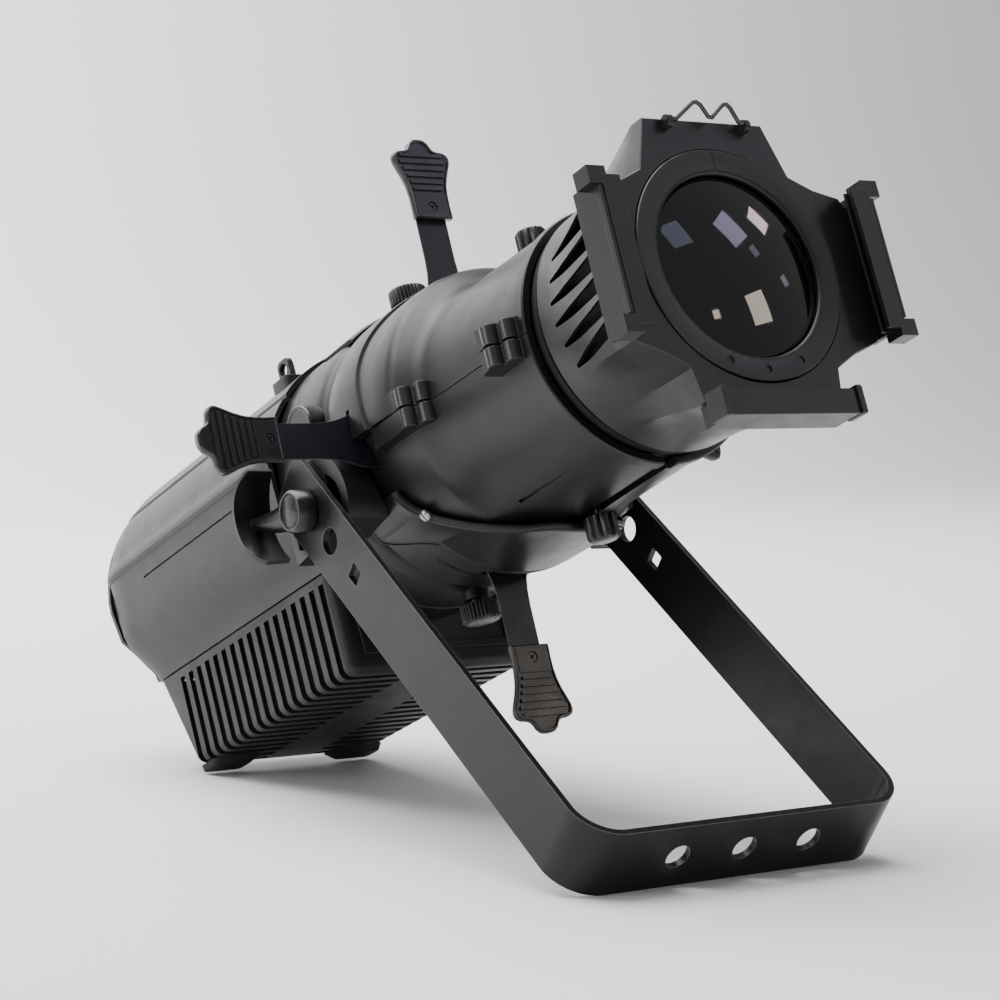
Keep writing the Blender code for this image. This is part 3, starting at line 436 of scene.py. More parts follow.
def build_box():
    depth = BOX_TOP - BOX_BOTTOM
    slope = BOX_SLOPE / depth
    wall = BOX_WALL

    def loop(inset, level, lift=0.0):
        rear = HOUSING_REAR + slope * (BOX_TOP - level)
        half = BOX_HALF - 3.0 * (BOX_TOP - level) / depth - inset - lift
        return box_loop(half, rear + inset + lift, HOUSING_FRONT - inset - lift, level, 9.0 - inset * 0.8)

    rings = [loop(wall, BOX_BOTTOM + wall + 6.0), loop(wall, BOX_TOP), loop(0.0, BOX_TOP)]
    rings = [loop(wall, BOX_BOTTOM + wall, 5.0)] + rings
    for i in range(8):
        angle = math.radians(90.0 * i / 7)
        level = BOX_BOTTOM + BOX_ROUNDING * (1 - math.sin(angle))
        rings.append(loop(0.0, level, BOX_ROUNDING * (1 - math.cos(angle))))
    tray = loft("box_shell", rings)
    tools = []
    for side in (-1, 1):
        for i in range(SLOTS):
            middle = SLOT_FIRST - i * SLOT_PITCH
            tools.append(block("slot", (side * 22.0, middle - SLOT_WIDTH / 2, BOX_BOTTOM - 9.0),
                               (side * (BOX_HALF + 12.0), middle + SLOT_WIDTH / 2, BOX_TOP - 6.0)))
    combine(tray, joined("slots", tools))
    place(tray, "engine", BOX_COAT, "satin_black_casting", ["vent_box"], 1.1, 40.0)
    # A near-black block in place of the power supply: painted shade seen through the vent slots.
    painted_shade_block = block("box_painted_shade", (-70.0, HOUSING_REAR + 34.0, BOX_BOTTOM + 7.0),
                  (70.0, HOUSING_FRONT - 8.0, BOX_TOP - 2.0))
    place(painted_shade_block, "engine", PAINTED_SHADE, "satin_black_casting", ["power_supply"], 2.0)
    high, low = BOX_TOP - 6.0, BOX_BOTTOM + 14.0
    outside = [(-70.0, high), (70.0, high), (66.0, low), (-66.0, low)]
    inside = [(x * 0.9, high + (n - BOX_TOP + 6.0) * 0.8 - 6.0) for x, n in outside]
    raised = HOUSING_FRONT + 2.0
    stations = ((outside, HOUSING_FRONT), (outside, raised), (inside, raised), (inside, HOUSING_FRONT))
    loops = [[lamp(x, s, n) for x, n in line] for line, s in stations]
    panel = loft("box_front_frame", loops, closed=True)
    place(panel, "engine", BOX_COAT, "satin_black_casting", (), 0.6)


def build_feet():
    rear = HOUSING_REAR + 30.0
    top = BOX_BOTTOM + 0.2
    low_corner, high_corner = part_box("foot_left")
    bottom = (Vector((low_corner.x, high_corner.y, 0.0)) - AXIS_POINT).dot(UP) / MM
    for name, side in SIDES:
        upper = rounded([(78.0 * side, rear), (34.0 * side, rear), (34.0 * side, rear + 27.0),
                         (78.0 * side, rear + 27.0)], 5.0)
        lower = rounded([(77.0 * side, rear + 0.5), (44.0 * side, rear + 0.5), (44.0 * side, rear + 22.0),
                         (77.0 * side, rear + 22.0)], 5.0)
        foot = loft("foot_pad_" + name, [[lamp(x, s, top) for x, s in upper],
                                         [lamp(x, s, bottom + 0.1) for x, s in lower]])
        place(foot, "engine", RUBBER, "rubber", ["foot_" + name], 1.2)


def collar_point(angle, s, radius):
    """A point on a circle round the collar's own axis, which runs above the optical axis."""
    return lamp(radius * math.sin(angle), s, COLLAR_RISE + radius * math.cos(angle))


def collar_loop(s, radius, count=ROUND):
    turn = 2 * math.pi / count
    return [collar_point(turn * i, s, radius) for i in range(count)]


def build_collar():
    rear = HOUSING_FRONT - 1.5
    radius = COLLAR_R
    stations = ((rear, radius - 1.0), (rear + 2.0, radius), (-46.0, radius), (-44.5, radius - 1.2),
                (-43.0, radius), (-10.0, radius), (-4.0, radius - 1.0), (0.0, radius - 3.0),
                (2.0, radius - 5.5), (2.0, radius - 18.0), (-6.0, radius - 18.0), (-6.0, radius - 5.0),
                (rear + 4.0, radius - 5.0), (rear + 4.0, 48.0), (rear, 48.0))
    collar = loft("collar_shell", [collar_loop(s, r) for s, r in stations], closed=True)
    for low, high in ((108.0, 123.0), (-103.5, -90.0)):
        weld(collar, prism("knob_boss", disc(9.5, 40, (0.0, ROTATION_S)), low, high))
    place(collar, "engine", CASTING, "satin_black_casting", ["swivel_collar"], 0.8, 30.0)
    hood = []
    for i in range(25):
        angle = math.radians(-38.0 + 76.0 * i / 24)
        reach = 4.0 + 9.0 * math.cos(angle * 1.6)
        section = ((-40.0, 106.8), (-34.0, 109.0), (reach - 8.0, 109.2), (reach - 4.0, 107.8),
                   (reach - 4.0, 106.0), (-40.0, 105.0))
        hood.append([collar_point(angle, s, r) for s, r in section])
    place(loft("collar_hood", hood), "engine", CASTING, "satin_black_casting", (), 0.5)


def build_brackets():
    inner = YOKE_HALF - YOKE_THICK
    face = inner - 3.6
    pivot = (0.0, -AXIS_RISE)
    for name, side in SIDES:
        across = sorted((side * 106.0, side * 130.0))
        outline = [(-40.0, -62.0), (-40.0, -20.0)]
        for i in range(25):
            angle = math.radians(150.0 - 7.5 * i)
            outline.append((6.0 + 36.0 * math.cos(angle), pivot[1] + 36.0 * math.sin(angle)))
        bracket = prism("bracket_" + name, outline, *sorted((side * 84.0, side * face)), "x")
        window = [(-33.0, -54.0), (-33.0, -26.0), (-14.0, -14.0), (-14.0, -54.0)]
        front_window = [(19.0, -54.0), (19.0, -13.0), (31.0, -24.0), (34.0, -36.0), (31.0, -50.0)]
        for shape in (window, front_window):
            combine(bracket, prism("window", rounded(shape, 4.0), *across, "x"))
        combine(bracket, loft("form", [collar_loop(s, COLLAR_R + 0.2) for s in (-72.0, 60.0)]))
        combine(bracket, prism("form", disc(105.0, ROUND), -72.0, 60.0, "s"))
        place(bracket, "engine", CASTING, "satin_black_casting", ["pivot_bracket_" + name], 1.0, 35.0)


def build_jaw():
    """The lower band under the barrel, with a bead along its front, and its two stud screws."""
    rings = []
    steps = 96
    for i in range(steps + 1):
        degrees = JAW_START + JAW_SWEEP * i / steps
        angle = math.radians(degrees)
        below = 180.0 - abs(180.0 - degrees)
        rear = BARREL_REAR + 44.0 * smoothstep(126.0, 142.0, below)
        front = 58.0 + 80.0 * smoothstep(JAW_START, 172.0, below)
        drop = smoothstep(120.0, 138.0, front) * 3.0
        outer = 104.8 - drop
        profile = ((rear, JAW_INNER), (rear, 103.6), (rear + 2.0, 104.6), (rear + 4.0, 103.4),
                   (rear + 6.5, 103.4), (rear + 8.5, 104.8), (front - 7.5, outer), (front - 6.0, outer + 0.8),
                   (front - 2.5, outer + 0.6), (front - 0.8, outer - 0.6), (front, outer - 2.2),
                   (front, JAW_INNER - drop))
        rings.append([lamp(r * math.sin(angle), s, r * math.cos(angle)) for s, r in profile])
    place(loft("jaw_band", rings), "engine", CASTING, "satin_black_casting", ["barrel_jaw"], 0.5, 40.0)
    for name, side in SIDES:
        angle = math.radians(180.0 - side * 52.0)
        out = Vector((math.sin(angle), math.cos(angle)))
        screw = stud("jaw_screw_" + name, out * 103.0, 68.0, 4.6, 3.2, out)
        place(screw, "engine", BRIGHT, "plain_steel", (), 0.4)


def stud(name, centre, s, radius, height, out):
    """A round screw head that stands out from the barrel's surface."""
    across = Vector((-out.y, out.x))
    rings = []
    for level, size in ((0.0, 1.0), (height * 0.6, 1.0), (height, 0.75)):
        ring = []
        for a, b in disc(radius * size, 32):
            ring.append(at_section(centre + across * a + out * level, s + b))
        rings.append(ring)
    head = loft(name, rings)
    slot = ((-radius, -0.6), (radius, -0.6), (radius, 0.6), (-radius, 0.6))
    cut = [[at_section(centre + across * a + out * level, s + b) for a, b in slot]
           for level in (height * 0.45, height * 2.0)]
    return combine(head, loft("slot", cut))


# --- knobs ---------------------------------------------------------------------------------------
def knob(name, centre, low, high, radius, flutes, depth, sign, dome=2.0):
    """A fluted knob with a domed top, turned about the n direction."""
    points = flutes * 8
    rings = []
    tall = high - low
    levels = ((0.0, 0.9), (0.8, 1.0), (tall - dome, 1.0), (tall - dome * 0.3, 0.9), (tall, 0.7))
    for rise, size in levels:
        ring = []
        for i in range(points):
            angle = 2 * math.pi * i / points
            groove = depth * (0.5 - 0.5 * math.cos(flutes * angle)) ** 2 * (1.0 if size > 0.95 else 0.4)
            r = radius * size - groove
            n = low + rise if sign > 0 else high - rise
            ring.append(lamp(centre[0] + r * math.cos(angle), centre[1] + r * math.sin(angle), n))
        rings.append(ring)
    return loft(name, rings)


def build_knobs():
    for name, low, high, sign in (("top", 127.2, 140.8, 1), ("bottom", -120.8, -107.2, -1)):
        body = knob("rotation_lock_" + name, (0.0, ROTATION_S), low, high, 14.4, 30, 1.1, sign)
        stem = (92.0, low + 4.0) if sign > 0 else (high - 4.0, -88.0)
        weld(body, prism("stem", disc(5.0, 32, (0.0, ROTATION_S)), *stem))
        place(body, "rotation_knob_" + name, MOULDED, "black_plastic", ["rotation_knob_" + name], 0.0)
        ends = sorted((sign * 97.2, sign * 114.8))
        focus = knob("focus_grip_" + name, (0.0, FOCUS_S), *ends, 11.4, 10, 1.8, sign, 3.0)
        weld(focus, prism("stem", disc(3.0, 24, (0.0, FOCUS_S)), *sorted((sign * 82.0, sign * 101.0))))
        place(focus, "focus_knob_" + name, MOULDED, "black_plastic", ["focus_knob_" + name], 0.0)


# --- barrel --------------------------------------------------------------------------------------
def gate_swell(degrees, s):
    """How far the gate bulges at an angle from the top. Behind the straps it stays clear of the brackets."""
    if s > 44.0:
        return 1.0 - smoothstep(80.0, 98.0, degrees)
    return 1.0 - smoothstep(52.0, 96.0, degrees)


def seam_station(degrees):
    """Where the gate's cover ends: a wavy line that runs back down the sides."""
    return 62.0 + 9.0 * math.cos(math.radians(3.4 * degrees)) - 22.0 * smoothstep(40.0, 72.0, degrees)


def shell_profile(degrees):
    """The barrel shell's (s, r) section at an angle from the top, outside and then inside."""
    step = GATE_R - 99.0

    def gate(s, share, rise=0.0):
        swell = gate_swell(degrees, s)
        return (s, 99.0 + step * share * swell + rise * smoothstep(0.15, 0.6, swell))

    seam = seam_station(degrees)
    outer = [gate(BARREL_REAR, 0.55), gate(8.0, 0.68), gate(14.0, 0.9, 1.0), gate(20.0, 1.0, 1.6),
             gate(30.0, 1.0, 2.0), gate(seam - 4.0, 1.0, 2.0), gate(seam - 1.6, 1.0, 1.6),
             gate(seam - 0.8, 1.0, -1.0),
             gate(seam + 0.8, 1.0, -1.4), gate(seam + 1.6, 1.0, -0.3), gate(78.0, 1.0), gate(92.0, 0.94),
             gate(98.0, 0.84), gate(102.0, 0.62), (108.0, 97.2 + step * 0.25 * gate_swell(degrees, 108.0)),
             (114.0, 95.4), (124.0, 93.6)]
    outer += [(136.0, BARREL_R + 0.6), (170.0, BARREL_R - 0.4), (BARREL_RIM - 12.0, BARREL_R - 1.6),
              (BARREL_RIM - 10.5, BARREL_R - 1.4), (BARREL_RIM - 9.5, BARREL_R - 0.2),
              (BARREL_RIM - 1.0, BARREL_R),
              (BARREL_RIM, BARREL_R - 1.0)]
    inner = [(BARREL_RIM, BARREL_R - 5.5), (136.0, BARREL_R - 4.5), (118.0, 91.0), (98.0, 95.5), (20.0, 95.8),
             (BARREL_REAR, 95.8)]
    return outer + inner


def build_shell(name, start, stands_for):
    """One half of the barrel, from a start angle, with its bosses, slots and grooves."""
    steps = 96
    edge = math.degrees(SPLIT / BARREL_R)
    rings = []
    for i in range(steps + 1):
        degrees = start + edge + (180.0 - 2 * edge) * i / steps
        angle = math.radians(degrees)
        from_top = degrees if degrees <= 180.0 else 360.0 - degrees
        rings.append([lamp(r * math.sin(angle), s, r * math.cos(angle)) for s, r in shell_profile(from_top)])
    shell = loft(name, rings)
    sign = 1 if start < 0 else -1
    for rear, shoulder, front, reach in BOSSES:
        for side in (-1, 1):
            outline = [(BOSS_ROOT, rear), (reach - 4.0, rear), (reach, rear + 5.0), (reach, shoulder),
                       (BOSS_NOSE, front - 2.0), (BOSS_NOSE - 1.0, front), (BOSS_ROOT, front)]
            depth = sorted((sign * SPLIT * 1.2, sign * BOSS_HALF))
            weld(shell, prism("boss", [(side * x, s) for x, s in outline], *depth))
    tools = [prism("slot", rounded([(-5.2, 143.0), (5.2, 143.0), (5.2, 250.0), (-5.2, 250.0)], 5.0),
                   *sorted((sign * 80.0, sign * 104.0)))]
    strap_s = 40.0 if sign > 0 else 34.0
    tools.append(block("exit", (-22.5, strap_s - 2.5, sign * 80.0), (22.5, strap_s + 2.5, sign * 130.0)))
    for side, strap_s in ((-1, 46.0), (1, 52.0)):
        tools.append(block("exit", (side * 82.0, strap_s - 2.2, sign * -1.0),
                           (side * 125.0, strap_s + 2.2, sign * 22.5)))
    combine(shell, joined("tools", tools))
    grooves = []
    for turn in (-32.0, 32.0, 148.0, 212.0):
        if (abs(turn) < 90) != (sign > 0):
            continue
        angle = math.radians(turn)
        out = Vector((math.sin(angle), math.cos(angle)))
        across = Vector((out.y, -out.x))
        corners = []
        for level in (90.6, 110.0):
            corners.append([at_section(out * level + across * a, s)
                            for a, s in ((-1.6, 132.0), (1.6, 132.0), (1.6, 222.0), (-1.6, 222.0))])
        grooves.append(loft("groove", corners))
    combine(shell, joined("grooves", grooves))
    place(shell, "barrel", CASTING, "satin_black_casting", stands_for, 0.7, 34.0)


def build_barrel():
    build_shell("barrel_shell_upper", -90.0, ["barrel_upper"])
    build_shell("barrel_shell_lower", 90.0, ["barrel_lower"])
    for tag, (_, shoulder, front, reach) in zip(("rear", "front"), BOSSES):
        for hand, side in SIDES:
            for half, sign in (("upper", 1), ("lower", -1)):
                rolls = []
                for k in (0.24, 0.76):
                    middle = (side * (reach - 1.0 - (reach - BOSS_NOSE) * k),
                              shoulder - 1.0 + (front - shoulder) * k)
                    rolls.append(prism("roll", disc(6.0, 48, middle), *sorted((sign * 0.9, sign * 14.2))))
                piece = weld(*rolls)
                piece.name = "clamp_clip_%s_%s_%s" % (tag, hand, half)
                place(piece, "barrel", CLAMP, "plain_steel", (), 0.5)


# --- shutters ------------------------------------------------------------------------------------
def build_shutters():
    blade_half = [(37.0, 38.0), (37.0, 72.0), (20.0, 86.0), (20.0, 106.0), (19.2, 111.0), (17.2, 117.0),
                  (15.2, 123.0), (13.8, 131.0), (13.1, 142.0), (13.0, 196.0)]
    blade_line = blade_half + [(-a, b) for a, b in reversed(blade_half)]
    for name, level in SHUTTERS:
        slide = JOINTS["shutter_%s_slide" % name]
        inward = Vector(slide["axis"])
        out = -Vector((inward.dot(SIDE), inward.dot(UP)))
        across = Vector((out.y, -out.x))
        shift = -slide["range_m"][0] / MM

        def turn(points, shift=shift, out=out, across=across):
            return [tuple(across * a + out * (b - shift)) for a, b in points]

        blade = prism("shutter_sheet_" + name, turn(blade_line), level - 0.6, level + 0.6, "s")
        place(blade, "shutter_" + name, STRAP, "shutter_steel", ["shutter_%s_blade" % name], 0.25)
        build_grip(name, turn, level + 0.9, out, shift)


def grip_outline(inset=0.0):
    """A grip with a waist, two shoulders and a three-lobed tip."""
    half = [(16.0, 173.0), (15.7, 182.0), (15.9, 191.0), (17.0, 199.0), (19.4, 207.0), (22.2, 213.5),
            (24.2, 218.5), (24.6, 222.0), (23.2, 225.0), (19.5, 226.8), (14.2, 227.4), (11.4, 228.6),
            (9.6, 231.0), (8.0, 234.0), (5.2, 236.3), (2.6, 236.9), (0.0, 237.0)]
    outline = half + [(-a, b) for a, b in reversed(half[:-1])]
    middle = 205.0
    return [(a * (1 - inset / 26.0), middle + (b - middle) * (1 - inset / 32.0)) for a, b in outline]


def build_grip(name, turn, face, out, shift):
    """A shutter's moulded grip with its ribs, and the cross-head screw that holds it."""
    levels = ((face, 0.6), (face + 0.8, 0.0), (face + 5.0, 0.0), (face + 6.1, 1.0), (face + 6.1, 2.4),
              (face + 4.7, 3.2))
    rings = [[lamp(x, s, n) for x, n in turn(grip_outline(inset))] for s, inset in levels]
    grip = loft("shutter_grip_" + name, rings)
    ribs = []
    for k, width in enumerate((12.6, 14.2, 16.0, 18.0, 20.0, 18.5)):
        start = 195.5 + 5.4 * k
        outline = turn([(-width, start), (width, start), (width, start + 2.4), (-width, start + 2.4)])
        ribs.append(prism("rib", outline, face + 3.6, face + 6.2, "s"))
    weld(grip, joined("ribs", ribs))
    pad = [(-13.6, 175.0), (13.6, 175.0), (13.6, 193.0), (-13.6, 193.0)]
    weld(grip, prism("pad", turn(pad), face + 3.6, face + 5.8, "s"))
    seat = tuple(out * (182.0 - shift))
    combine(grip, prism("seat", disc(4.2, 32, seat), face + 1.5, face + 9.0, "s"))
    place(grip, "shutter_" + name, MOULDED, "black_plastic", ["shutter_%s_handle" % name], 0.5, 40.0)
    head = prism("grip_screw_" + name, disc(3.6, 32, seat), face + 0.3, face + 5.0, "s")
    for tilt in (0.0, math.pi / 2):
        arm = Vector((math.cos(tilt + 0.6), math.sin(tilt + 0.6)))
        wide = Vector((-arm.y, arm.x)) * 0.45
        cross = [tuple(Vector(seat) + arm * along + wide * over)
                 for along, over in ((2.4, 1), (-2.4, 1), (-2.4, -1), (2.4, -1))]
        combine(head, prism("cross", cross, face + 3.4, face + 8.0, "s"))
    place(head, "shutter_" + name, DARK_METAL, "plain_steel", ["shutter_%s_screw" % name], 0.3)


# --- head, rails and optics ----------------------------------------------------------------------
def plate_outline():
    """The head's front plate as (x, n), with points close enough to follow a circle."""
    half = [(0.0, 100.0), (49.0, 100.0), (55.0, 82.0), (61.0, 64.0), (80.0, 55.0), (100.0, 50.0),
            (104.0, 44.0), (104.0, -44.0), (100.0, -52.0), (78.0, -60.0), (60.0, -70.0), (56.0, -92.0),
            (0.0, -92.0)]
    return filled_in(half + [(-x, n) for x, n in reversed(half[1:-1])], 4.0)


def build_head():
    outline = plate_outline()
    angles = [math.atan2(x, n) for x, n in outline]

    def circle(s, radius):
        return [lamp(radius * math.sin(a), s, radius * math.cos(a)) for a in angles]

    def plate(s, inset, blend=1.0):
        points = []
        for (x, n), a in zip(outline, angles):
            reach = (math.hypot(x, n) - inset) * blend + (1 - blend) * (89.0 - inset)
            points.append(lamp(reach * math.sin(a), s, reach * math.cos(a)))
        return points

    bore = TUBE_R + 0.3
    neck = HEAD_REAR + 14.0
    flare = HEAD_FRONT - 12.0 - neck
    rings = [circle(HEAD_REAR, bore), circle(HEAD_REAR, 87.5), circle(HEAD_REAR + 1.0, 88.5),
             circle(neck, 89.0)]
    for k in range(1, 9):
        t = k / 8
        rings.append(plate(neck + flare * t, 0.0, t ** 1.15))
    rings += [plate(HEAD_FRONT - 0.8, 0.0), plate(HEAD_FRONT, 0.8), circle(HEAD_FRONT, PLATE_HOLE_R),
              circle(HEAD_FRONT - 3.5, PLATE_HOLE_R + 0.4)]
    for k in range(8, 0, -1):
        t = k / 8
        rings.append(plate(neck + flare * t, 2.6, t ** 1.15))
    rings += [circle(neck, 86.4), circle(HEAD_REAR + 12.0, bore)]
    head = loft("head_casting", rings, closed=True)
    gaps = []
    for side in (-1, 1):
        for i in range(6):
            middle = -36.5 + 14.6 * i
            rear = HEAD_REAR + 15.0 + abs(middle) * 0.12
            wedge = []
            for s, half in ((rear, 1.2), (rear + 22.0, 3.6), (HEAD_FRONT - 12.0, 5.9)):
                low, high = middle - half, middle + half
                wedge.append([lamp(side * x, s, n)
                              for x, n in ((70.0, low), (130.0, low), (130.0, high), (70.0, high))])
            gaps.append(loft("gap", wedge))
    combine(head, joined("gaps", gaps))
    for x in (-33.6, 29.6):
        weld(head, prism("eye", disc(4.4, 32, (HEAD_FRONT + 3.2, 96.6)), x, x + 4.0, "x"))
    place(head, "lens_tube", CASTING, "satin_black_casting", ["front_head"], 0.5, 30.0)


def build_rails():
    """The three channels that hold a colour frame."""
    face = HEAD_FRONT + 0.3
    for name, side in SIDES:
        channel = [(104.3, HEAD_FRONT - 12.0), (109.0, HEAD_FRONT - 12.0), (109.0, RAIL_FRONT),
                   (95.0, RAIL_FRONT), (95.0, RAIL_FRONT - 3.5), (105.0, RAIL_FRONT - 3.5),
                   (105.0, face + 9.2), (97.0, face + 9.2), (97.0, face + 7.6), (104.3, face + 7.6)]
        rail = prism("rail_" + name, [(side * x, s) for x, s in channel], -49.0, 49.0)
        for low, high in ((43.0, 54.8), (-54.8, -43.0)):
            cap = block("cap", (side * 104.6, RAIL_FRONT - 15.0, low), (side * 118.8, RAIL_FRONT - 0.4, high))
            weld(rail, cap)
        place(rail, "lens_tube", CASTING, "satin_black_casting", ["frame_rail_" + name], 0.6)
        line = [(side * 110.0, -42.0), (side * 112.5, -42.0), (side * 112.5, 42.0), (side * 110.0, 42.0)]
        ridge = prism("rail_ridge_" + name, rounded(line, 0.6), RAIL_FRONT - 5.0, RAIL_FRONT - 0.6, "s")
        place(ridge, "lens_tube", CASTING, "satin_black_casting", (), 0.4)
    channel = [(HEAD_FRONT - 10.0, -92.4), (HEAD_FRONT - 10.0, -107.0), (RAIL_FRONT - 3.0, -107.0),
               (RAIL_FRONT - 3.0, -90.0), (RAIL_FRONT - 6.5, -90.0), (RAIL_FRONT - 6.5, -97.0),
               (face, -97.0), (face, -92.4)]
    rail = prism("rail_bottom", channel, -53.0, 53.0, "x")
    place(rail, "lens_tube", CASTING, "satin_black_casting", ["frame_rail_bottom"], 0.6)
    rear, front = HEAD_FRONT + 1.0, RAIL_FRONT - 1.0
    end = rounded([(rear, -107.5), (front, -107.5), (front, -88.0), (rear, -88.0)], 2.0)
    for name, side in SIDES:
        cap = prism("rail_end_" + name, end, *sorted((side * 53.1, side * 57.5)), "x")
        place(cap, "lens_tube", CASTING, "satin_black_casting", (), 0.6)


def build_optics():
    front = HEAD_FRONT - 5.0
    inner = TUBE_R - 4.0
    bead = TUBE_R + 2.6
    profile = [(122.0, inner), (122.0, TUBE_R), (HEAD_REAR - 9.0, TUBE_R), (HEAD_REAR - 8.0, bead),
               (HEAD_REAR - 3.0, bead), (HEAD_REAR - 2.0, TUBE_R), (HEAD_REAR + 11.7, TUBE_R),
               (HEAD_REAR + 16.0, 81.4), (front, 81.4), (front, 77.5), (HEAD_REAR + 16.0, 77.5)]
    tube = turned("tube_shell", profile)
    place(tube, "lens_tube", TUBE_BLACK, "satin_black_casting", ["lens_tube"], 0.4)
    profile = [(HEAD_FRONT - 3.0, LENS_OPEN_R), (HEAD_FRONT - 3.0, 79.6), (HEAD_FRONT + 0.6, 79.6),
               (HEAD_FRONT + 1.2, 79.0), (HEAD_FRONT + 1.2, LENS_OPEN_R + 3.0),
               (HEAD_FRONT + 0.6, LENS_OPEN_R + 1.2), (HEAD_FRONT - 0.5, LENS_OPEN_R)]
    ring = turned("lens_bezel", profile)
    seams = [block("seam", (-0.4, HEAD_FRONT + 0.5, 60.0), (0.4, HEAD_FRONT + 3.0, 90.0))]
    for turn in (-24.0, 0.0, 24.0):
        angle = math.radians(180.0 + turn)
        centre = (71.5 * math.sin(angle), 71.5 * math.cos(angle))
        seams.append(prism("dimple", disc(3.0, 32, centre), HEAD_FRONT + 0.2, HEAD_FRONT + 3.0, "s"))
    combine(ring, joined("seams", seams))
    place(ring, "lens_tube", CASTING, "satin_black_casting", ["lens_ring"], 0.3)
    edge = HEAD_FRONT - 12.0
    crown = []
    for k in range(21):
        r = LENS_R * (1 - k / 20)
        crown.append((edge + 8.6 + 9.0 * (1.0 - (r / LENS_R) ** 2), r))
    back = [(edge - 8.0, 0.0), (edge - 6.0, 74.0), (edge, 74.0), (edge + 3.0, 69.0)]
    lens = turned("lens_front", back + crown)
    place(lens, "lens_tube", LENS, "lens_glass", ["front_lens"], 0.0, 60.0)


def build_clip():
    """The spring wire over the top of the frame slot, as a round swept wire with soft bends."""
    hinge = Vector(JOINTS["frame_clip_swing"]["pos_m"])
    route = ((-34.0, 0.0), (-26.0, 0.0), (-10.5, 11.5), (-7.0, 12.3), (-4.0, 10.5), (1.0, 3.0), (4.0, 2.6),
             (14.5, 11.5), (18.0, 12.3), (20.5, 10.0), (25.5, 0.8), (27.5, 0.0), (34.0, 0.0))
    curve = bpy.data.curves.new("clip_wire", "CURVE")
    curve.dimensions = "3D"
    curve.bevel_depth = 1.5 * MM
    curve.bevel_resolution = 4
    curve.use_fill_caps = True
    spline = curve.splines.new("POLY")
    spline.points.add(len(route) - 1)
    for point, (x, rise) in zip(spline.points, route):
        spot = hinge + (SIDE * x + UP * rise + FORWARD * 0.12 * rise) * MM
        point.co = (*spot, 1.0)
    wire = bpy.data.objects.new("clip_wire", curve)
    bpy.context.scene.collection.objects.link(wire)
    curve.materials.append(WIRE)
    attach(wire, "frame_clip")
    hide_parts("frame_clip")


# --- yoke and lock levers ------------------------------------------------------------------------
def build_yoke():
    """A flat strip bent into a U, with rounded ends, drilled arms and a drilled bar."""
    half = YOKE_HALF - YOKE_THICK / 2
    end = YOKE_WIDTH / 2
    far = YOKE_REACH - YOKE_THICK / 2
    bend = YOKE_BEND - YOKE_THICK / 2
    path = []
    for i in range(13):
        angle = math.radians(90.0 * i / 12)
        d = YOKE_CORNER * (1 - math.cos(angle)) - YOKE_TOP
        path.append((half, d, end - YOKE_CORNER * (1 - math.sin(angle))))
    path.append((half, far - bend, end))
    for i in range(1, 17):
        angle = math.radians(90.0 * i / 16)
        path.append((half - bend + bend * math.cos(angle), far - bend + bend * math.sin(angle), end))
    path += [(-x, d, width) for x, d, width in reversed(path)]
    rings = []
    for i, (x, d, width) in enumerate(path):
        before = path[max(i - 1, 0)]
        after = path[min(i + 1, len(path) - 1)]
        run = Vector((after[0] - before[0], after[1] - before[1])).normalized()
        if abs(run.x) < 0.08:
            run = Vector((0.0, math.copysign(1.0, run.y)))
        offset = Vector((run.y, -run.x)) * YOKE_THICK / 2
        rings.append([on_yoke(x + offset.x, d + offset.y, width), on_yoke(x - offset.x, d - offset.y, width),
                      on_yoke(x - offset.x, d - offset.y, -width), on_yoke(x + offset.x, d + offset.y, -width)])
    strip = loft("yoke_strip", rings)
    reach = YOKE_HALF + 10.0
    for radius, d in ((6.6, 0.0), (9.5, 36.0)):
        combine(strip, prism("hole", disc(radius, 48, (d, 0.0)), -reach, reach, "x", on_yoke))
    window = rounded([(74.0 + a, b) for a, b in disc(8.5, 4, start=math.pi / 4)], 1.5)
    combine(strip, prism("hole", window, -reach, reach, "x", on_yoke))
    for x in BAR_HOLES:
        drill = [[on_yoke(a, d, b) for a, b in disc(BAR_HOLE_R, 48, (x, 0.0))]
                 for d in (YOKE_REACH - 15, YOKE_REACH + 10)]
        combine(strip, loft("hole", drill))
    place(strip, "yoke", YOKE_COAT, "satin_black_steel", ["yoke"], 0.6, 40.0)


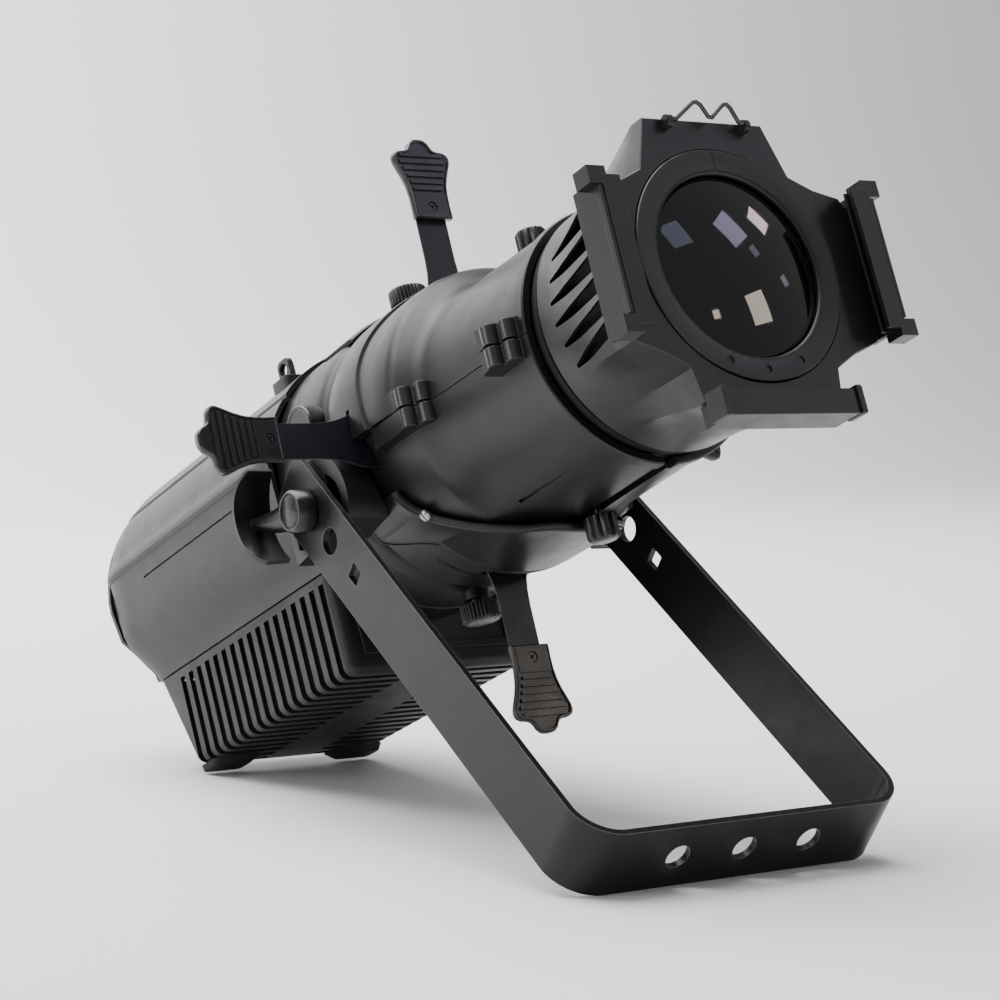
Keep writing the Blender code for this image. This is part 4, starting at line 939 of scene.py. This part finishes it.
def build_levers():
    """The two tilt lock levers: a hub, an arm that thins towards its end, and a curved paddle."""
    hub_steps = ((0.0, 14.0), (1.0, 15.0), (12.5, 15.0), (14.4, 13.6), (14.4, 12.4), (13.4, 11.8))
    cap_steps = ((13.2, 11.4), (14.2, 11.4), (14.8, 10.4))
    # The arm's sections: s, rise, half height, half thickness, distance out from the hub's foot.
    arm_sections = ((2.0, 0.0, 11.0, 6.2, 7.4), (-14.0, 0.5, 10.4, 6.0, 8.0), (-26.0, 2.0, 8.6, 5.6, 9.5),
                    (-38.0, 4.5, 6.4, 4.6, 12.5), (-46.5, 7.0, 4.2, 3.6, 15.0))
    pivot = (0.0, -AXIS_RISE)
    start = YOKE_HALF + 0.3
    for name, side in SIDES:
        hub = loft("lock_lever_" + name, [[lamp(side * (start + x), s, n) for s, n in disc(r, 64, pivot)]
                                          for x, r in hub_steps])
        arm = []
        for s, rise, high, thick, x in arm_sections:
            arm.append([lamp(side * (start + x + thick * math.cos(a)), s, pivot[1] + rise + high * math.sin(a))
                        for a in [2 * math.pi * k / 32 for k in range(32)]])
        weld(hub, loft("arm", arm))
        paddle = []
        for k in range(25):
            t = k / 24
            angle = math.radians(180.0 + 92.0 * (t - 0.5))
            taper = 1.0 - 0.35 * abs(2 * t - 1) ** 3
            section = []
            for along, radius in ((0.0, 45.5), (0.0, 49.4), (1.0, 49.8), (1.0, 47.0)):
                x = start + 1.2 + along * 29.0 * taper
                n = pivot[1] + 9.0 + radius * math.sin(angle)
                section.append(lamp(side * x, radius * math.cos(angle), n))
            paddle.append(section)
        weld(hub, loft("paddle", paddle))
        weld(hub, prism("stud", disc(6.0, 32, pivot), *sorted((side * 107.0, side * (start + 5.0))), "x"))
        place(hub, "tilt_handle_" + name, MOULDED, "black_plastic", ["tilt_handle_" + name], 0.8, 40.0)
        cap = loft("lever_cap_" + name, [[lamp(side * (start + x), s, n) for s, n in disc(r, 48, pivot)]
                                         for x, r in cap_steps])
        place(cap, "tilt_handle_" + name, DARK_METAL, "plain_steel", (), 0.3)


# --- CAD pieces that keep their own mesh ---------------------------------------------------------
def dress_cad_nodes():
    """Give every CAD node its slot's material, and the rear panel's parts slightly rounded edges."""
    looks = {"satin_black_casting": CASTING, "satin_black_steel": YOKE_COAT, "black_plastic": MOULDED,
             "shutter_steel": STRAP, "bare_aluminium": ALUMINIUM, "plain_steel": BRIGHT, "lens_glass": LENS,
             "circuit_board": BOARD, "rubber": RUBBER, "display": DISPLAY}
    slots = {part["node"]: part["material_slot"] for part in frame["record"]["subparts"]}
    for name, node in frame["nodes"].items():
        node.data.materials.clear()
        node.data.materials.append(looks[slots[name]])
        if name in ("rear_cover", "power_inlet", "data_inlet", "data_outlet", "menu_button_1", "menu_button_2",
                    "menu_button_3", "menu_button_4"):
            edge = node.modifiers.new("edges", "BEVEL")
            edge.width = 0.6 * MM
            edge.segments = 2
            edge.limit_method = "ANGLE"
            edge.angle_limit = math.radians(40.0)


# --- studio --------------------------------------------------------------------------------------
def area_light(name, where, at, size, power, colour=(1.0, 1.0, 1.0)):
    data = bpy.data.lights.new(name, "AREA")
    data.shape = "RECTANGLE"
    data.size, data.size_y = size
    data.energy = power
    data.color = colour
    lamp_object = bpy.data.objects.new(name, data)
    bpy.context.scene.collection.objects.link(lamp_object)
    lamp_object.location = where
    lamp_object.rotation_euler = (Vector(where) - Vector(at)).to_track_quat("Z", "Y").to_euler()


def build_studio():
    floor_mesh = bpy.data.meshes.new("floor")
    bm = bmesh.new()
    width, front, back, curve, top = 9.0, -5.0, 3.2, 1.6, 6.0
    profile = [(front, 0.0)]
    for i in range(17):
        angle = math.radians(90.0 * i / 16)
        profile.append((back + curve * math.sin(angle), curve - curve * math.cos(angle)))
    profile.append((back + curve, top))
    rows = [[bm.verts.new((x, y, z)) for x in (-width, width)] for y, z in profile]
    for low, high in zip(rows, rows[1:]):
        bm.faces.new((low[0], low[1], high[1], high[0]))
    bm.to_mesh(floor_mesh)
    bm.free()
    floor_mesh.shade_smooth()
    floor = bpy.data.objects.new("floor", floor_mesh)
    bpy.context.scene.collection.objects.link(floor)
    paint = bpy.data.materials.new("floor_white")
    paint.use_nodes = True
    shader = paint.node_tree.nodes["Principled BSDF"]
    shader.inputs["Base Color"].default_value = (0.86, 0.86, 0.86, 1.0)
    shader.inputs["Roughness"].default_value = 0.85
    floor_mesh.materials.append(paint)
    world = bpy.data.worlds.new("studio")
    bpy.context.scene.world = world
    world.use_nodes = True
    world.node_tree.nodes["Background"].inputs["Color"].default_value = (1.0, 1.0, 1.0, 1.0)
    world.node_tree.nodes["Background"].inputs["Strength"].default_value = 0.35
    aim = (0.0, 0.0, 0.25)
    area_light("top_soft", (-0.6, 0.9, 3.4), aim, (3.6, 3.6), 300.0)
    area_light("backdrop_wash", (0.0, 2.2, 3.4), (0.0, 4.8, 1.4), (3.5, 1.0), 260.0)
    area_light("left_fill", (-3.2, 0.2, 1.2), aim, (1.4, 1.4), 26.0)
    build_lens_panels()


def build_lens_panels():
    """Small soft boxes, each placed where the lens's crown mirrors it towards the camera at a chosen spot.

    A spot is its name, its place across and up the crown, its side, its power and its colour.
    """
    crown = AXIS_POINT + FORWARD * 345.0 * MM
    turn = bpy.context.scene.camera.matrix_world.to_3x3()
    right, up = turn.col[0], turn.col[1]
    to_camera = (bpy.context.scene.camera.matrix_world.translation - crown).normalized()
    steepest = 0.29
    spots = (("high", -0.12, 0.42, 0.46, 2.6, (0.72, 0.68, 1.0)),
             ("left", -0.88, 0.14, 0.42, 0.9, (0.62, 0.66, 1.0)),
             ("low", 0.1, -0.55, 0.46, 5.0, (1.0, 0.86, 0.76)),
             ("rim", 0.5, 0.78, 0.3, 2.6, (1.0, 0.76, 0.85)),
             ("small", 0.22, 0.2, 0.16, 0.12, (0.75, 0.78, 1.0)),
             ("far", 0.74, -0.1, 0.14, 0.12, (0.8, 0.8, 1.0)),
             ("foot", -0.52, -0.68, 0.14, 0.6, (1.0, 0.85, 0.75)))
    for name, across, rise, side, power, colour in spots:
        normal = (FORWARD + (right * across + up * rise) * steepest).normalized()
        towards = normal * 2.0 * normal.dot(to_camera) - to_camera
        area_light("panel_" + name, crown + towards * 3.0, crown, (side, side), power, colour)


def build_camera():
    """A long lens, low and to the left of the beam."""
    azimuth, elevation, roll = math.radians(-35.204), math.radians(3.095), math.radians(0.297)
    target = Vector((PIVOT.x, PIVOT.y, 0.0)) + Vector((32.57, 0.0, 225.8)) * MM
    level = math.cos(elevation)
    back = Vector((math.sin(azimuth) * level, -math.cos(azimuth) * level, math.sin(elevation)))
    data = bpy.data.cameras.new("camera")
    data.lens = 96.06
    data.sensor_width = 36.0
    camera = bpy.data.objects.new("camera", data)
    bpy.context.scene.collection.objects.link(camera)
    camera.location = target + back * 1.9544
    turn = back.to_track_quat("Z", "Y").to_matrix().to_4x4()
    camera.rotation_euler = (turn @ Matrix.Rotation(roll, 4, "Z")).to_euler()
    bpy.context.scene.camera = camera
    bpy.context.view_layer.update()


def main():
    build_camera()
    dress_cad_nodes()
    build_housing()
    build_box()
    build_feet()
    build_collar()
    build_brackets()
    build_jaw()
    build_knobs()
    build_barrel()
    build_shutters()
    build_head()
    build_rails()
    build_optics()
    build_clip()
    build_yoke()
    build_levers()
    build_studio()


main()
